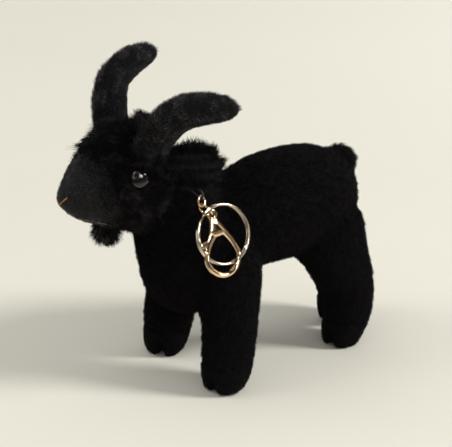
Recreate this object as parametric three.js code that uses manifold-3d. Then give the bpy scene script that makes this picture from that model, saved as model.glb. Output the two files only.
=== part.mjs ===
// A small stuffed goat that hangs from a bag or a bunch of keys: sewn pile-fabric skins over soft
// filling, plastic safety eyes, embroidered nose and mouth, and a gilt lobster clasp and split ring
// on two jump rings. Millimetres, +Z up. The goat looks along -Y, its left side is +X, and it stands
// on z = 0, with the origin under the middle of the whole charm.

import * as THREE from "three";
import { mergeVertices } from "three/addons/utils/BufferGeometryUtils.js";
import Module from "manifold-3d";

const wasm = await Module();
wasm.setup();

// ---------------------------------------------------------------- driving dimensions

const FABRIC = 2; // pile fabric: backing and pressed pile together
const GAP = 0.3; // between two neighbouring pieces
const HALF_SEAM = 0.2; // on each side of a seam between two panels
const EAR_ROOM = 1; // between the ear's root and the head, so that the ear can turn

const HOOF_TOP = 15; // the leg's pile ends here and the smooth hoof fabric starts
const UNDER_FLOOR = 7; // how far a leg's form runs past the flat of its sole
const EYE_RADIUS = 4.6;
const EYE_SHANK = 1.2;
const THREAD = 0.35; // radius of the embroidery thread

const JUMP_WIRE = 0.5; // radius of the jump rings' wire
const UPPER_JUMP = 2.4; // centre-line radius
const LOWER_JUMP = 3.75;
const PLAY = 0.18; // between two links that hang on one another
const CORD = 0.55;
const SPLIT_RING = 13.6; // centre-line radius of a 28 mm key ring
const SPLIT_WIRE = 0.65;
const SPLIT_PITCH = 1.36; // between the key ring's two coils
const CLASP_THICK = 3.2;
const EYELET_THICK = 1.6;
const GATE_THICK = 1.6;
const RIVET = 0.6;

// ---------------------------------------------------------------- solids

const X = new THREE.Vector3(1, 0, 0);
const Z = new THREE.Vector3(0, 0, 1);
const degrees = THREE.MathUtils.degToRad;

// A closed geometry as a solid, with its shared corners merged.
function solid(geometry) {
  const bare = geometry.clone();
  bare.deleteAttribute("normal");
  bare.deleteAttribute("uv");
  const merged = mergeVertices(bare, 1e-4);
  const vertProperties = new Float32Array(merged.attributes.position.array);
  const triVerts = new Uint32Array(merged.index.array);
  return new wasm.Manifold(new wasm.Mesh({ numProp: 3, vertProperties, triVerts }));
}

function geometryOf(manifold) {
  const { vertProperties, triVerts } = manifold.getMesh();
  const geometry = new THREE.BufferGeometry();
  geometry.setAttribute("position", new THREE.BufferAttribute(new Float32Array(vertProperties), 3));
  geometry.setIndex(new THREE.BufferAttribute(new Uint32Array(triVerts), 1));
  geometry.computeVertexNormals();
  return geometry;
}

// A cut can leave slivers beside the piece; only the piece is kept.
const largest = (shape) => shape.decompose().sort((a, b) => b.volume() - a.volume())[0];

// The box between two corners.
function block(low, high) {
  const size = high.map((value, axis) => value - low[axis]);
  const centre = low.map((value, axis) => value + size[axis] / 2);
  return solid(new THREE.BoxGeometry(...size).translate(...centre));
}

const FAR = 300;
const LEFT = block([HALF_SEAM, -FAR, -FAR], [FAR, FAR, FAR]);
const RIGHT = block([-FAR, -FAR, -FAR], [-HALF_SEAM, FAR, FAR]);
const above = (z) => block([-FAR, -FAR, z], [FAR, FAR, FAR]);
const between = (low, high) => block([-FAR, -FAR, low], [FAR, FAR, high]);

// Everything in front of the line in the YZ plane from [y, z] to a higher [y, z], moved back by shift.
function inFrontOf([y1, z1], [y2, z2], shift) {
  const half = new THREE.BoxGeometry(2 * FAR, 2 * FAR, 2 * FAR).translate(0, shift - FAR, 0);
  const lean = Math.atan2(y1 - y2, z2 - z1);
  return solid(half.rotateX(lean).translate(0, (y1 + y2) / 2, (z1 + z2) / 2));
}

// A stuffed form: a ball's rings strung along a curve. Each station is a point of the curve with the
// form's half width along side and its half height across it. A fullness of 2 gives an egg, and more
// gives a sausage.
class Form {
  constructor(stations, { side = X, fullness = 3, around = 14, rings = 8 } = {}) {
    this.spine = new THREE.CatmullRomCurve3(stations.map(([x, y, z]) => new THREE.Vector3(x, y, z)));
    this.girth = new THREE.CatmullRomCurve3(
      stations.map(([, , , wide, tall]) => new THREE.Vector3(wide, tall, 0)),
    );
    Object.assign(this, { side, fullness, around, rings });
  }

  // A point of the surface: along runs from 1 at the first station to -1 at the last, and angle turns
  // about the spine from the side. Inset moves it inwards. Only keeps one half, above or below.
  at(along, angle, inset = 0, only = 0) {
    const t = THREE.MathUtils.clamp((1 - along) / 2, 0, 1);
    const round = Math.sqrt(Math.max(0, 1 - Math.abs(along) ** this.fullness));
    const tangent = this.spine.getTangent(t);
    const wide = this.side.clone().addScaledVector(tangent, -this.side.dot(tangent)).normalize();
    const tall = tangent.clone().cross(wide);
    const half = this.girth.getPoint(t);
    const high = Math.sin(angle) * round * (half.y - inset);
    const kept = only === 0 ? high : only * Math.max(only * high, HALF_SEAM);
    return this.spine
      .getPoint(t)
      .addScaledVector(tangent, along * inset)
      .addScaledVector(wide, Math.cos(angle) * round * (half.x - inset))
      .addScaledVector(tall, kept);
  }

  // The closed form; only gives the half above (1) or below (-1) its seam, as a cutter.
  body(inset = 0, only = 0) {
    const ball = new THREE.SphereGeometry(1, this.around, this.rings);
    const spot = ball.attributes.position;
    for (let i = 0; i < spot.count; i++) {
      const angle = Math.atan2(spot.getZ(i), spot.getX(i));
      spot.setXYZ(i, ...this.at(spot.getY(i), angle, inset, only));
    }
    return solid(ball);
  }
}

// The union of several forms; their fabric skin; the filling inside it; the space they take.
const joined = (forms, inset = 0) =>
  forms.map((form) => form.body(inset)).reduce((all, one) => all.add(one));
const skinOf = (...forms) => joined(forms).subtract(joined(forms, FABRIC));
const fillingOf = (...forms) => joined(forms, FABRIC + GAP);
const roomFor = (...forms) => joined(forms, -GAP);

// A round wire along a curve, with closed ends.
function wire(curve, radius, steps, sides = 6) {
  const section = new THREE.Shape(new THREE.EllipseCurve(0, 0, radius, radius).getPoints(sides).slice(1));
  return new THREE.ExtrudeGeometry(section, { extrudePath: curve, steps, bevelEnabled: false });
}

// A round pin from one point to another.
function pin(from, to, radius, sides = 8) {
  const direction = to.clone().sub(from);
  const rod = new THREE.CylinderGeometry(radius, radius, direction.length(), sides);
  rod.applyQuaternion(new THREE.Quaternion().setFromUnitVectors(THREE.Object3D.DEFAULT_UP, direction.normalize()));
  const middle = from.clone().lerp(to, 0.5);
  return rod.translate(middle.x, middle.y, middle.z);
}

// ---------------------------------------------------------------- soft forms: [x, y, z, wide, tall]

const BARREL = new Form(
  [
    [0, -50, 71, 21, 20],
    [0, -27, 73.5, 25.5, 22.5],
    [0, 2, 80, 27, 28],
    [0, 28, 81, 25.5, 28],
    [0, 51, 79, 20, 24],
  ],
  { fullness: 3.4, around: 16, rings: 9 },
);

const NECK = new Form(
  [
    [0, -41, 33, 17, 20],
    [0, -46, 55, 24, 23.5],
    [0, -49, 77, 23.5, 22.5],
    [0, -55, 97, 20, 20],
    [0, -60, 113, 15, 17],
  ],
  { fullness: 3.4 },
);

const HEAD = new Form(
  [
    [0, -50, 110, 14, 16],
    [0, -64, 108, 20.5, 25],
    [0, -77, 106.5, 21.5, 26.5],
    [0, -90, 103.5, 18.5, 21.5],
    [0, -108.7, 99.6, 12, 12.5],
  ],
  { fullness: 2.8, around: 16, rings: 10 },
);

const TAIL = new Form(
  [
    [0, 33, 96, 6.5, 6.5],
    [0, 41, 101.5, 6.8, 6.2],
    [0, 47, 98, 6.5, 5.8],
    [0, 48.5, 90, 5, 4.5],
  ],
  { around: 10, rings: 7 },
);

const BEARD = new Form(
  [
    [0, -85, 89, 6, 5.5],
    [0, -87, 81, 7.5, 6.5],
    [0, -86, 75, 5, 4.5],
  ],
  { fullness: 2.4, around: 10, rings: 7 },
);

// Each leg from the hip or shoulder down. The hind legs are in step, the right one behind the left.
const LEG_STATIONS = {
  front_left: [
    [16, -32, 75, 11, 16],
    [19.5, -33, 55, 14, 16],
    [23, -35, 31, 13.2, 13.6],
    [25, -39, -UNDER_FLOOR, 12, 12.5],
  ],
  front_right: [
    [-16, -36, 75, 11, 16],
    [-19.5, -38, 55, 14, 16],
    [-24.5, -43, 31, 13.2, 13.6],
    [-26.5, -47, -UNDER_FLOOR, 12, 12.5],
  ],
  rear_left: [
    [14, 26, 81, 11, 20],
    [14.5, 31, 57, 12.5, 19],
    [12.8, 42, 31, 12.4, 14.2],
    [11, 40.5, -UNDER_FLOOR, 11.3, 12],
  ],
  rear_right: [
    [-14, 28, 81, 11, 20],
    [-14.5, 38, 57, 12.5, 19],
    [-13.2, 53.5, 31, 12.6, 14.2],
    [-12, 56, -UNDER_FLOOR, 11.3, 12],
  ],
};

// The horns are set by hand, so the left one lies flatter and further back than the right one.
const HORN_STATIONS = {
  left: [
    [17, -74, 116, 8, 9],
    [22.8, -68.5, 132.6, 7.8, 8.6],
    [28, -59.5, 140.2, 7.2, 7.8],
    [32, -50, 141.5, 6.6, 7],
    [36, -38, 140.5, 5.2, 5.6],
  ],
  right: [
    [-17, -74, 116, 8, 9],
    [-21, -74, 133, 7.6, 8.6],
    [-25, -70, 146, 7, 7.8],
    [-28, -58.5, 154, 6.2, 6.8],
    [-30, -45.8, 156.6, 5.2, 5.6],
  ],
};

// An ear is a flat pocket: long from root to tip, high and thin.
const EAR_STATIONS = [
  [13, -66, 113, 6.5, 2.6],
  [22, -60, 115.5, 9.5, 2.8],
  [31, -54, 117.5, 10, 2.6],
  [38, -47, 117, 7.5, 2],
];

// ---------------------------------------------------------------- finishes

const PILE = { color: 0x0a0909, roughness: 1, metalness: 0 };
const SMOOTH_PILE = { color: 0x121214, roughness: 0.9, metalness: 0 };
const FILL = { color: 0xe8e6e0, roughness: 1, metalness: 0 };
const GLOSS_BLACK = { color: 0x050505, roughness: 0.08, metalness: 0 };
const WASHER_PLASTIC = { color: 0x303030, roughness: 0.5, metalness: 0 };
const COPPER_THREAD = { color: 0x9a5a2a, roughness: 0.6, metalness: 0 };
const BLACK_CORD = { color: 0x0c0b0b, roughness: 0.8, metalness: 0 };
const GILT = { color: 0xe0b878, roughness: 0.2, metalness: 1 };
const SPRING_STEEL = { color: 0x9a9a9a, roughness: 0.35, metalness: 1 };

const goat = new THREE.Group();

function piece(name, shape, finish, parent = goat) {
  const geometry = shape.isBufferGeometry ? shape : geometryOf(largest(shape));
  const mesh = new THREE.Mesh(geometry, new THREE.MeshStandardMaterial(finish));
  mesh.name = name;
  parent.add(mesh);
  return mesh;
}

// ---------------------------------------------------------------- hanging hardware

// The hardware lies on the left side of the neck and shoulder. In this group, whose origin is the
// middle of the clasp's eyelet, x is rearward, y is up and z is outward.
const LEAN = degrees(18); // the top leans in towards the neck
const TURN = degrees(6); // the outer side is turned a little to the rear
const flank = new THREE.Group();
const outward = new THREE.Matrix4().makeRotationZ(TURN).multiply(new THREE.Matrix4().makeRotationY(-LEAN));
outward.multiply(new THREE.Matrix4().makeBasis(new THREE.Vector3(0, 1, 0), Z, X));
flank.quaternion.setFromRotationMatrix(outward);
flank.position.set(29, -47.6, 92.3);
goat.add(flank);

const SPLIT_PLANE = -(SPLIT_PITCH / 2 + SPLIT_WIRE + GAP + CLASP_THICK / 2); // behind the clasp
const PULL = degrees(-58); // direction in which the rings are drawn down, from the rearward axis
const pulled = (distance) => new THREE.Vector3(Math.cos(PULL) * distance, Math.sin(PULL) * distance, 0);

// A round wire bent round the z axis from one angle to another, at the height that rise gives.
class Coil extends THREE.Curve {
  constructor(radius, from, to, rise = () => 0) {
    super();
    Object.assign(this, { radius, from, to, rise });
  }

  getPoint(t, target = new THREE.Vector3()) {
    const angle = THREE.MathUtils.lerp(this.from, this.to, t);
    return target.set(Math.cos(angle) * this.radius, Math.sin(angle) * this.radius, this.rise(angle));
  }
}

// A jump ring, with its butt joint open by a hair at the given angle.
const BUTT_JOINT = degrees(2);
function jumpRing(name, radius, jointAngle) {
  const bend = new Coil(radius, jointAngle + BUTT_JOINT, jointAngle + 2 * Math.PI - BUTT_JOINT);
  return piece(name, wire(bend, JUMP_WIRE, 20), GILT, flank);
}

// The lower jump ring stands across the flank. Its lowest stretch goes through the clasp's eyelet on
// the outer side and round the key ring's wire on the inner side.
const RING_TO_EYELET = 3.1; // from the lower ring's centre to the eyelet's, along the pull
const lowerCentre = pulled(-RING_TO_EYELET);
lowerCentre.z = (SPLIT_PLANE - SPLIT_PITCH / 2 - SPLIT_WIRE + EYELET_THICK / 2) / 2;
const lowerRing = jumpRing("lower_jump_ring", LOWER_JUMP, degrees(-20));
lowerRing.position.copy(lowerCentre);
lowerRing.rotation.set(0, Math.PI / 2, PULL + Math.PI / 2, "ZYX");

// The upper jump ring hangs along the flank, turned a little, and holds the lower one by its top.
const UPPER_TURN = degrees(22);
const linkStep = LOWER_JUMP - 2 * JUMP_WIRE - 3 * PLAY; // the two cross at a slant
const upperBottom = lowerCentre.clone().sub(pulled(linkStep));
const upperRing = jumpRing("upper_jump_ring", UPPER_JUMP, degrees(160));
upperRing.position.copy(upperBottom).add(new THREE.Vector3(0, UPPER_JUMP, 0));
upperRing.rotation.y = UPPER_TURN;

// The cord loop: a ring drawn out towards the neck, where its far end is sewn into the seam.
const LOOP_BEND = 1.9;
const LOOP_LENGTH = 11;
const LOOP_RISE = degrees(32); // how steeply it climbs towards the neck
function cordLoop(thickness) {
  const ring = new THREE.TorusGeometry(LOOP_BEND, thickness, 6, 12);
  const spot = ring.attributes.position;
  for (let i = 0; i < spot.count; i++) {
    if (spot.getX(i) > 1e-6) spot.setX(i, spot.getX(i) + LOOP_LENGTH);
  }
  const bend = upperRing.position.clone();
  bend.y += UPPER_JUMP - JUMP_WIRE - CORD - PLAY + LOOP_BEND;
  return ring.rotateZ(LOOP_RISE).rotateY(Math.PI / 2).translate(...bend);
}
piece("hang_loop", cordLoop(CORD), BLACK_CORD, flank);
flank.updateMatrix();
const loopRoom = solid(cordLoop(CORD + GAP).applyMatrix4(flank.matrix));

// The split key ring: two coils of wire with one cross-over, next to which both ends lie.
const CROSSING = degrees(46);
const RING_END = degrees(107); // where the outer coil's end shows
function splitRise(angle) {
  const turned = RING_END - angle;
  const step = THREE.MathUtils.smoothstep(turned, 2 * Math.PI - CROSSING, 2 * Math.PI);
  return (0.5 - step) * SPLIT_PITCH;
}
const splitCurve = new Coil(SPLIT_RING, RING_END, RING_END - 4 * Math.PI + 1.15 * CROSSING, splitRise);
// How far the coils' middle hangs below the lower jump ring's centre, when the inner coil touches it.
const coilAside = lowerCentre.z - (SPLIT_PLANE - SPLIT_PITCH / 2);
const RING_DROP = Math.sqrt((LOWER_JUMP - JUMP_WIRE - SPLIT_WIRE - PLAY) ** 2 - coilAside ** 2);
const splitRing = piece("split_ring", wire(splitCurve, SPLIT_WIRE, 52), GILT, flank);
splitRing.position.copy(lowerCentre).add(pulled(RING_DROP + SPLIT_RING));
splitRing.position.z = SPLIT_PLANE;

// The lobster clasp, drawn with its eyelet at the origin and its hook below.
const HOOK = { x: 1.8, y: -19.3, outer: 9.6, inner: 6.5 };
const EYELET_RADIUS = 2.5;
const EYELET_HOLE = 1.3;
const PIVOT = { x: 0.2, y: -7 };
const HEEL = 2.1; // radius of the gate round its rivet
const TIP = { x: -6.8, y: -16.65 }; // the outermost corner of the gate's free end
const GATE_SWING = degrees(26);
const GATE_STEPS = 13; // the slot is cut at this many places of the gate's swing

const plate = (outline, thickness, curveSegments = 7) =>
  new THREE.ExtrudeGeometry(outline, { depth: thickness, bevelEnabled: false, curveSegments }).translate(
    0,
    0,
    -thickness / 2,
  );

function claspOutline() {
  const outline = new THREE.Shape();
  outline.moveTo(-2.2, -1.4);
  outline.lineTo(-3.2, -7.6);
  outline.lineTo(-1.2, -10);
  outline.quadraticCurveTo(1.6, -10.9, 3.6, -10.9);
  outline.quadraticCurveTo(6.8, -13.8, HOOK.x + HOOK.inner, HOOK.y);
  outline.absarc(HOOK.x, HOOK.y, HOOK.inner, 0, Math.PI, true);
  outline.lineTo(-4.6, -17);
  outline.lineTo(-7, -17);
  outline.lineTo(HOOK.x - HOOK.outer, HOOK.y);
  outline.absarc(HOOK.x, HOOK.y, HOOK.outer, Math.PI, 0, false);
  outline.quadraticCurveTo(10.9, -14.6, 6.7, -8.2);
  outline.lineTo(2.3, -2.9);
  return outline;
}

function gateOutline() {
  const outline = new THREE.Shape();
  outline.absarc(PIVOT.x, PIVOT.y, HEEL, degrees(-20), degrees(170), false);
  outline.lineTo(-4.7, -10.8);
  outline.lineTo(-8.2, -11.4);
  outline.quadraticCurveTo(-9.2, -12.7, -8.2, -13.9);
  outline.lineTo(-6, -13.8);
  outline.lineTo(TIP.x, TIP.y);
  outline.lineTo(-4.8, -16.65);
  outline.quadraticCurveTo(-3.2, -12.6, 0.9, -9.6);
  return outline;
}

const gateShape = solid(plate(gateOutline(), GATE_THICK));
const slotShape = solid(plate(gateOutline(), GATE_THICK + 2 * GAP));

// The gate's free end sweeps an arc through the hook's tip.
const tipAngle = Math.atan2(TIP.y - PIVOT.y, TIP.x - PIVOT.x);
const tipReach = Math.hypot(TIP.x - PIVOT.x, TIP.y - PIVOT.y) + GAP;
const tipSweep = new THREE.Shape();
tipSweep.absarc(PIVOT.x, PIVOT.y, tipReach, tipAngle, tipAngle + GATE_SWING, false);
tipSweep.lineTo(PIVOT.x, PIVOT.y);

function turnedAboutPivot(shape, angle) {
  const turn = new THREE.Matrix4()
    .makeTranslation(PIVOT.x, PIVOT.y, 0)
    .multiply(new THREE.Matrix4().makeRotationZ(angle))
    .multiply(new THREE.Matrix4().makeTranslation(-PIVOT.x, -PIVOT.y, 0));
  return shape.transform(turn.elements);
}
const heelRoom = solid(
  new THREE.CylinderGeometry(HEEL + GAP, HEEL + GAP, GATE_THICK + 2 * GAP, 24)
    .rotateX(Math.PI / 2)
    .translate(PIVOT.x, PIVOT.y, 0),
);
const rivetHole = (radius) =>
  solid(
    new THREE.CylinderGeometry(radius, radius, 2 * CLASP_THICK, 16)
      .rotateX(Math.PI / 2)
      .translate(PIVOT.x, PIVOT.y, 0),
  );

// A small compression spring stands in a pocket over the gate's heel.
const SPRING = { x: 0.2, top: -3.1, bottom: PIVOT.y + HEEL + 0.35, coil: 0.55, wire: 0.14, turns: 3 };
const springMiddle = (SPRING.top + SPRING.bottom) / 2;
const springPocket = block(
  [SPRING.x - 0.95, SPRING.bottom - 0.6, -GATE_THICK / 2 - GAP],
  [SPRING.x + 0.95, SPRING.top + GAP, GATE_THICK / 2 + GAP],
);

function claspBody() {
  let shape = solid(plate(claspOutline(), CLASP_THICK));
  const eyeletRing = new THREE.Shape().absarc(0, 0, EYELET_RADIUS, 0, 2 * Math.PI, false);
  shape = shape.add(solid(plate(eyeletRing, EYELET_THICK, 24)));
  const eyeletHole = new THREE.CylinderGeometry(EYELET_HOLE, EYELET_HOLE, 9, 20).rotateX(Math.PI / 2);
  shape = shape.subtract(solid(eyeletHole));
  for (const side of [-1, 1]) {
    const near = EYELET_THICK / 2;
    const flat = new THREE.BoxGeometry(8, 6, 4).translate(0, 0.2, side * (near + 2));
    shape = shape.subtract(solid(flat));
  }
  for (let step = -1; step <= GATE_STEPS; step++) {
    shape = shape.subtract(turnedAboutPivot(slotShape, (step / GATE_STEPS) * GATE_SWING));
  }
  shape = shape.subtract(solid(plate(tipSweep, GATE_THICK + 2 * GAP, 20)));
  return shape.subtract(heelRoom).subtract(springPocket).subtract(rivetHole(RIVET + PLAY));
}
piece("clasp_body", claspBody(), GILT, flank);
piece("clasp_gate", gateShape.subtract(rivetHole(RIVET + PLAY)), GILT, flank);
piece(
  "clasp_rivet",
  new THREE.CylinderGeometry(RIVET, RIVET, CLASP_THICK, 14).rotateX(Math.PI / 2).translate(PIVOT.x, PIVOT.y, 0),
  GILT,
  flank,
);

class SpringCurve extends THREE.Curve {
  getPoint(t, target = new THREE.Vector3()) {
    const angle = t * SPRING.turns * 2 * Math.PI;
    const height = THREE.MathUtils.lerp(SPRING.bottom + SPRING.wire, SPRING.top - SPRING.wire, t);
    return target.set(SPRING.x + Math.cos(angle) * SPRING.coil, height, Math.sin(angle) * SPRING.coil);
  }
}
piece("clasp_spring", wire(new SpringCurve(), SPRING.wire, 24, 4), SPRING_STEEL, flank);

// ---------------------------------------------------------------- head

// The muzzle's smooth cover meets the long pile along this line, from throat to brow.
const MUZZLE_LINE = [
  [-80, 77],
  [-94, 127],
];
const muzzleSide = inFrontOf(...MUZZLE_LINE, -HALF_SEAM);
const browSide = inFrontOf(...MUZZLE_LINE, HALF_SEAM);
const BROW = 120; // the forehead panel's lower edge

// A thread of embroidery lies along points of the muzzle, sunk by its own radius.
function stitch(spots) {
  const curve = new THREE.CatmullRomCurve3(spots.map(([along, angle]) => HEAD.at(along, degrees(angle), -0.1)));
  return (radius) => wire(curve, radius, 6);
}
const mirrorAngles = (spots) => spots.map(([along, angle]) => [along, 180 - angle]);
const NOSE = [
  [-0.9973, -59],
  [-0.982, 13],
  [-0.925, 27],
];
const MOUTH = [
  [-0.988, -74],
  [-0.95, -68],
  [-0.794, -60],
  [-0.588, -50],
];
const stitches = {
  nose_stitch_left: stitch(NOSE),
  nose_stitch_right: stitch(mirrorAngles(NOSE)),
  mouth_stitch_left: stitch(MOUTH),
  mouth_stitch_right: stitch(mirrorAngles(MOUTH)),
};

// A safety eye: a domed head outside, its shank through the fabric, and a washer pressed on inside.
const EYE_SEAT = new THREE.Vector3(19.6, -78, 111.5);
const EYE_LOOK = new THREE.Vector3(1, -0.22, 0.12).normalize();
const WASHER = { radius: 3.4, thick: 1, depth: FABRIC + 1.1 };
function domeOf(radius, height) {
  const rise = 3;
  const profile = [new THREE.Vector2(0, 0), new THREE.Vector2(radius, 0)];
  for (let i = 1; i < rise; i++) {
    const angle = (i / rise) * (Math.PI / 2);
    profile.push(new THREE.Vector2(Math.cos(angle) * radius, Math.sin(angle) * height));
  }
  profile.push(new THREE.Vector2(0, height));
  return new THREE.LatheGeometry(profile, 16);
}
function eyeParts(side) {
  const seat = EYE_SEAT.clone().setX(side * EYE_SEAT.x);
  const look = EYE_LOOK.clone().setX(side * EYE_LOOK.x);
  const aim = new THREE.Quaternion().setFromUnitVectors(THREE.Object3D.DEFAULT_UP, look);
  const along = (distance) => seat.clone().addScaledVector(look, distance);
  const dome = (radius, height) => solid(domeOf(radius, height).applyQuaternion(aim).translate(...seat));
  const shank = (radius) => solid(pin(along(-WASHER.depth - 2.4), along(0.2), radius));
  const washer = (room) =>
    solid(pin(along(-WASHER.depth - WASHER.thick - room), along(-WASHER.depth + room), WASHER.radius + room, 12));
  const inSkin = dome(EYE_RADIUS + GAP, 4)
    .add(solid(pin(along(-GAP), along(0.1), EYE_RADIUS + GAP, 16)))
    .add(shank(EYE_SHANK + GAP));
  const pocket = pin(along(-WASHER.depth - WASHER.thick - GAP), along(0), WASHER.radius + GAP, 12);
  return {
    eye: dome(EYE_RADIUS, 3.4).add(shank(EYE_SHANK)),
    washer: washer(0).subtract(shank(EYE_SHANK + GAP)),
    inSkin,
    inFilling: solid(pocket).add(shank(EYE_SHANK + GAP)),
  };
}
const eyes = { left: eyeParts(1), right: eyeParts(-1) };

const headSkin = skinOf(HEAD)
  .subtract(eyes.left.inSkin)
  .subtract(eyes.right.inSkin)
  .subtract(loopRoom);
const muzzleGrooves = Object.values(stitches).map((thread) => solid(thread(THREAD + GAP)));
const muzzle = muzzleGrooves.reduce((shape, groove) => shape.subtract(groove), headSkin.intersect(muzzleSide));
const skull = headSkin.subtract(browSide);

piece("muzzle_cover", muzzle, SMOOTH_PILE);
piece("forehead_panel", skull.intersect(above(BROW + HALF_SEAM)), PILE);
piece("head_panel_left", skull.intersect(LEFT).intersect(between(-FAR, BROW - HALF_SEAM)), PILE);
piece("head_panel_right", skull.intersect(RIGHT).intersect(between(-FAR, BROW - HALF_SEAM)), PILE);
piece(
  "head_filling",
  fillingOf(HEAD).subtract(eyes.left.inFilling).subtract(eyes.right.inFilling).subtract(loopRoom),
  FILL,
);
for (const side of ["left", "right"]) {
  piece("eye_" + side, eyes[side].eye, GLOSS_BLACK);
  piece("eye_washer_" + side, eyes[side].washer, WASHER_PLASTIC);
}
for (const [name, thread] of Object.entries(stitches)) {
  piece(name, thread(THREAD), COPPER_THREAD);
}

const headRoom = roomFor(HEAD);
piece("beard_tuft", BEARD.body().subtract(headRoom), PILE);

// ---------------------------------------------------------------- horns and ears

const horns = {};
for (const [side, stations] of Object.entries(HORN_STATIONS)) {
  const horn = new Form(stations, { fullness: 5, around: 10, rings: 8 });
  horns[side] = horn;
  const skin = skinOf(horn).subtract(headRoom);
  piece("horn_upper_" + side, skin.intersect(horn.body(-3, -1)), PILE);
  piece("horn_lower_" + side, skin.intersect(horn.body(-3, 1)), SMOOTH_PILE);
  piece("horn_filling_" + side, fillingOf(horn).subtract(headRoom), FILL);
}

for (const [side, sign] of Object.entries({ left: 1, right: -1 })) {
  const stations = EAR_STATIONS.map(([x, ...rest]) => [sign * x, ...rest]);
  const ear = new Form(stations, { side: Z, around: 12, rings: 8 });
  const pocket = ear.body().subtract(joined([HEAD, horns[side]], -EAR_ROOM));
  piece("ear_back_" + side, pocket.intersect(ear.body(-3, -sign)), PILE);
  piece("ear_lining_" + side, pocket.intersect(ear.body(-3, sign)), SMOOTH_PILE);
}

// ---------------------------------------------------------------- body, tail and legs

const torsoSkin = skinOf(BARREL, NECK).subtract(headRoom).subtract(loopRoom);
const GUSSET_WIDE = 13;
const GUSSET_HIGH = 59;
const gussetBox = (room) =>
  block([-GUSSET_WIDE - room, -90, -FAR], [GUSSET_WIDE + room, 52 + room, GUSSET_HIGH + room]);
const flanks = torsoSkin.subtract(gussetBox(HALF_SEAM));

piece("body_panel_left", flanks.intersect(LEFT), PILE);
piece("body_panel_right", flanks.intersect(RIGHT), PILE);
piece("belly_gusset", torsoSkin.intersect(gussetBox(-HALF_SEAM)), PILE);
piece("body_filling", fillingOf(BARREL, NECK).subtract(headRoom).subtract(loopRoom), FILL);

const torsoRoom = roomFor(BARREL, NECK);
piece("tail_cover", skinOf(TAIL).subtract(torsoRoom), PILE);
piece("tail_filling", fillingOf(TAIL).subtract(torsoRoom), FILL);

// The cleft runs up the front of the hoof, from the sole.
const FRONT = degrees(90);
function cleft(leg) {
  const rise = [-1, -0.97, -0.9, -0.8, -0.7].map((along) => leg.at(along, FRONT));
  return solid(wire(new THREE.CatmullRomCurve3(rise), 1.5, 6));
}

for (const [name, stations] of Object.entries(LEG_STATIONS)) {
  const leg = new Form(stations, { fullness: 6, around: 11, rings: 8 });
  const hollow = leg.body(FABRIC).intersect(above(FABRIC)); // the sole is closed
  const skin = leg.body().subtract(hollow).subtract(torsoRoom);
  const filling = fillingOf(leg).subtract(torsoRoom);
  piece("leg_" + name, skin.intersect(above(HOOF_TOP + HALF_SEAM)), PILE);
  piece("hoof_" + name, skin.subtract(cleft(leg)).intersect(between(0, HOOF_TOP - HALF_SEAM)), SMOOTH_PILE);
  piece("leg_filling_" + name, filling.intersect(above(FABRIC + GAP)), FILL);
}

// The forms above are laid out from a point midway between the feet.
const MIDDLE = new THREE.Vector3(0.69, -20.57, 0);
goat.position.copy(MIDDLE).negate();

export default goat;
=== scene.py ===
import itertools
import math

import bmesh
import bpy
import numpy as np
from mathutils import Matrix, Vector, kdtree, noise
from mathutils.bvhtree import BVHTree


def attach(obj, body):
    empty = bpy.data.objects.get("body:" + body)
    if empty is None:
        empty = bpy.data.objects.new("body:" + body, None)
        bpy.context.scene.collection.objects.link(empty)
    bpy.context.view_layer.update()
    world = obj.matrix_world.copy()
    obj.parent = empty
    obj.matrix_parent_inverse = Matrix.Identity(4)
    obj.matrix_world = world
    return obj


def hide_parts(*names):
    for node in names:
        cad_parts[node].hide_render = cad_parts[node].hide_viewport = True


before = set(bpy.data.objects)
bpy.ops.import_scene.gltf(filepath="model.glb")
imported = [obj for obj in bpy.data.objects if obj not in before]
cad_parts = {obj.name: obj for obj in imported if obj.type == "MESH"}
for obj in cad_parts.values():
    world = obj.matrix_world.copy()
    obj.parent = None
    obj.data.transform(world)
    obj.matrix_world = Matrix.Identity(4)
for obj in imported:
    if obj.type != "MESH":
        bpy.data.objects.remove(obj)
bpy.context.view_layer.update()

# The looks of a small plush goat with key-chain hardware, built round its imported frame. Shapes are
# worked out in millimetres and stored in metres. The goat looks along -Y and its left side is +X.

MM = 0.001
MIDDLE = np.array((0.69, -20.57, 0))  # the frame's origin, from the point midway between the feet
scene = bpy.context.scene


def to_frame(points):
    """Points in millimetres from midway between the feet, as metres in the CAD frame."""
    return (np.asarray(points, float) - MIDDLE) * MM


def from_frame(points):
    return np.asarray(points, float) / MM + MIDDLE


# ------------ soft forms of the goat

# Each station of a form is x, y, z of its middle line, then its half width and half height.
BARREL = [
    (0, -50, 71, 21, 20),
    (0, -27, 73.5, 25.5, 22.5),
    (0, 2, 80, 27, 28),
    (0, 28, 81, 25.5, 28),
    (0, 51, 79, 20, 24),
]
NECK = [
    (0, -41, 33, 17, 20),
    (0, -46, 55, 24, 23.5),
    (0, -49, 77, 23.5, 22.5),
    (0, -55, 97, 20, 20),
    (0, -60, 113, 15, 17),
]
HEAD = [
    (0, -50, 110, 14, 16),
    (0, -64, 108, 20.5, 25),
    (0, -77, 106.5, 21.5, 26.5),
    (0, -90, 103.5, 18.5, 21.5),
    (0, -108.7, 99.6, 12, 12.5),
]
TAIL = [
    (0, 33, 96, 6.5, 6.5),
    (0, 41, 101.5, 6.8, 6.2),
    (0, 47, 98, 6.5, 5.8),
    (0, 48.5, 90, 5, 4.5),
]
BEARD = [
    (0, -85, 89, 6, 5.5),
    (0, -87, 81, 7.5, 6.5),
    (0, -86, 75, 5, 4.5),
]
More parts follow.
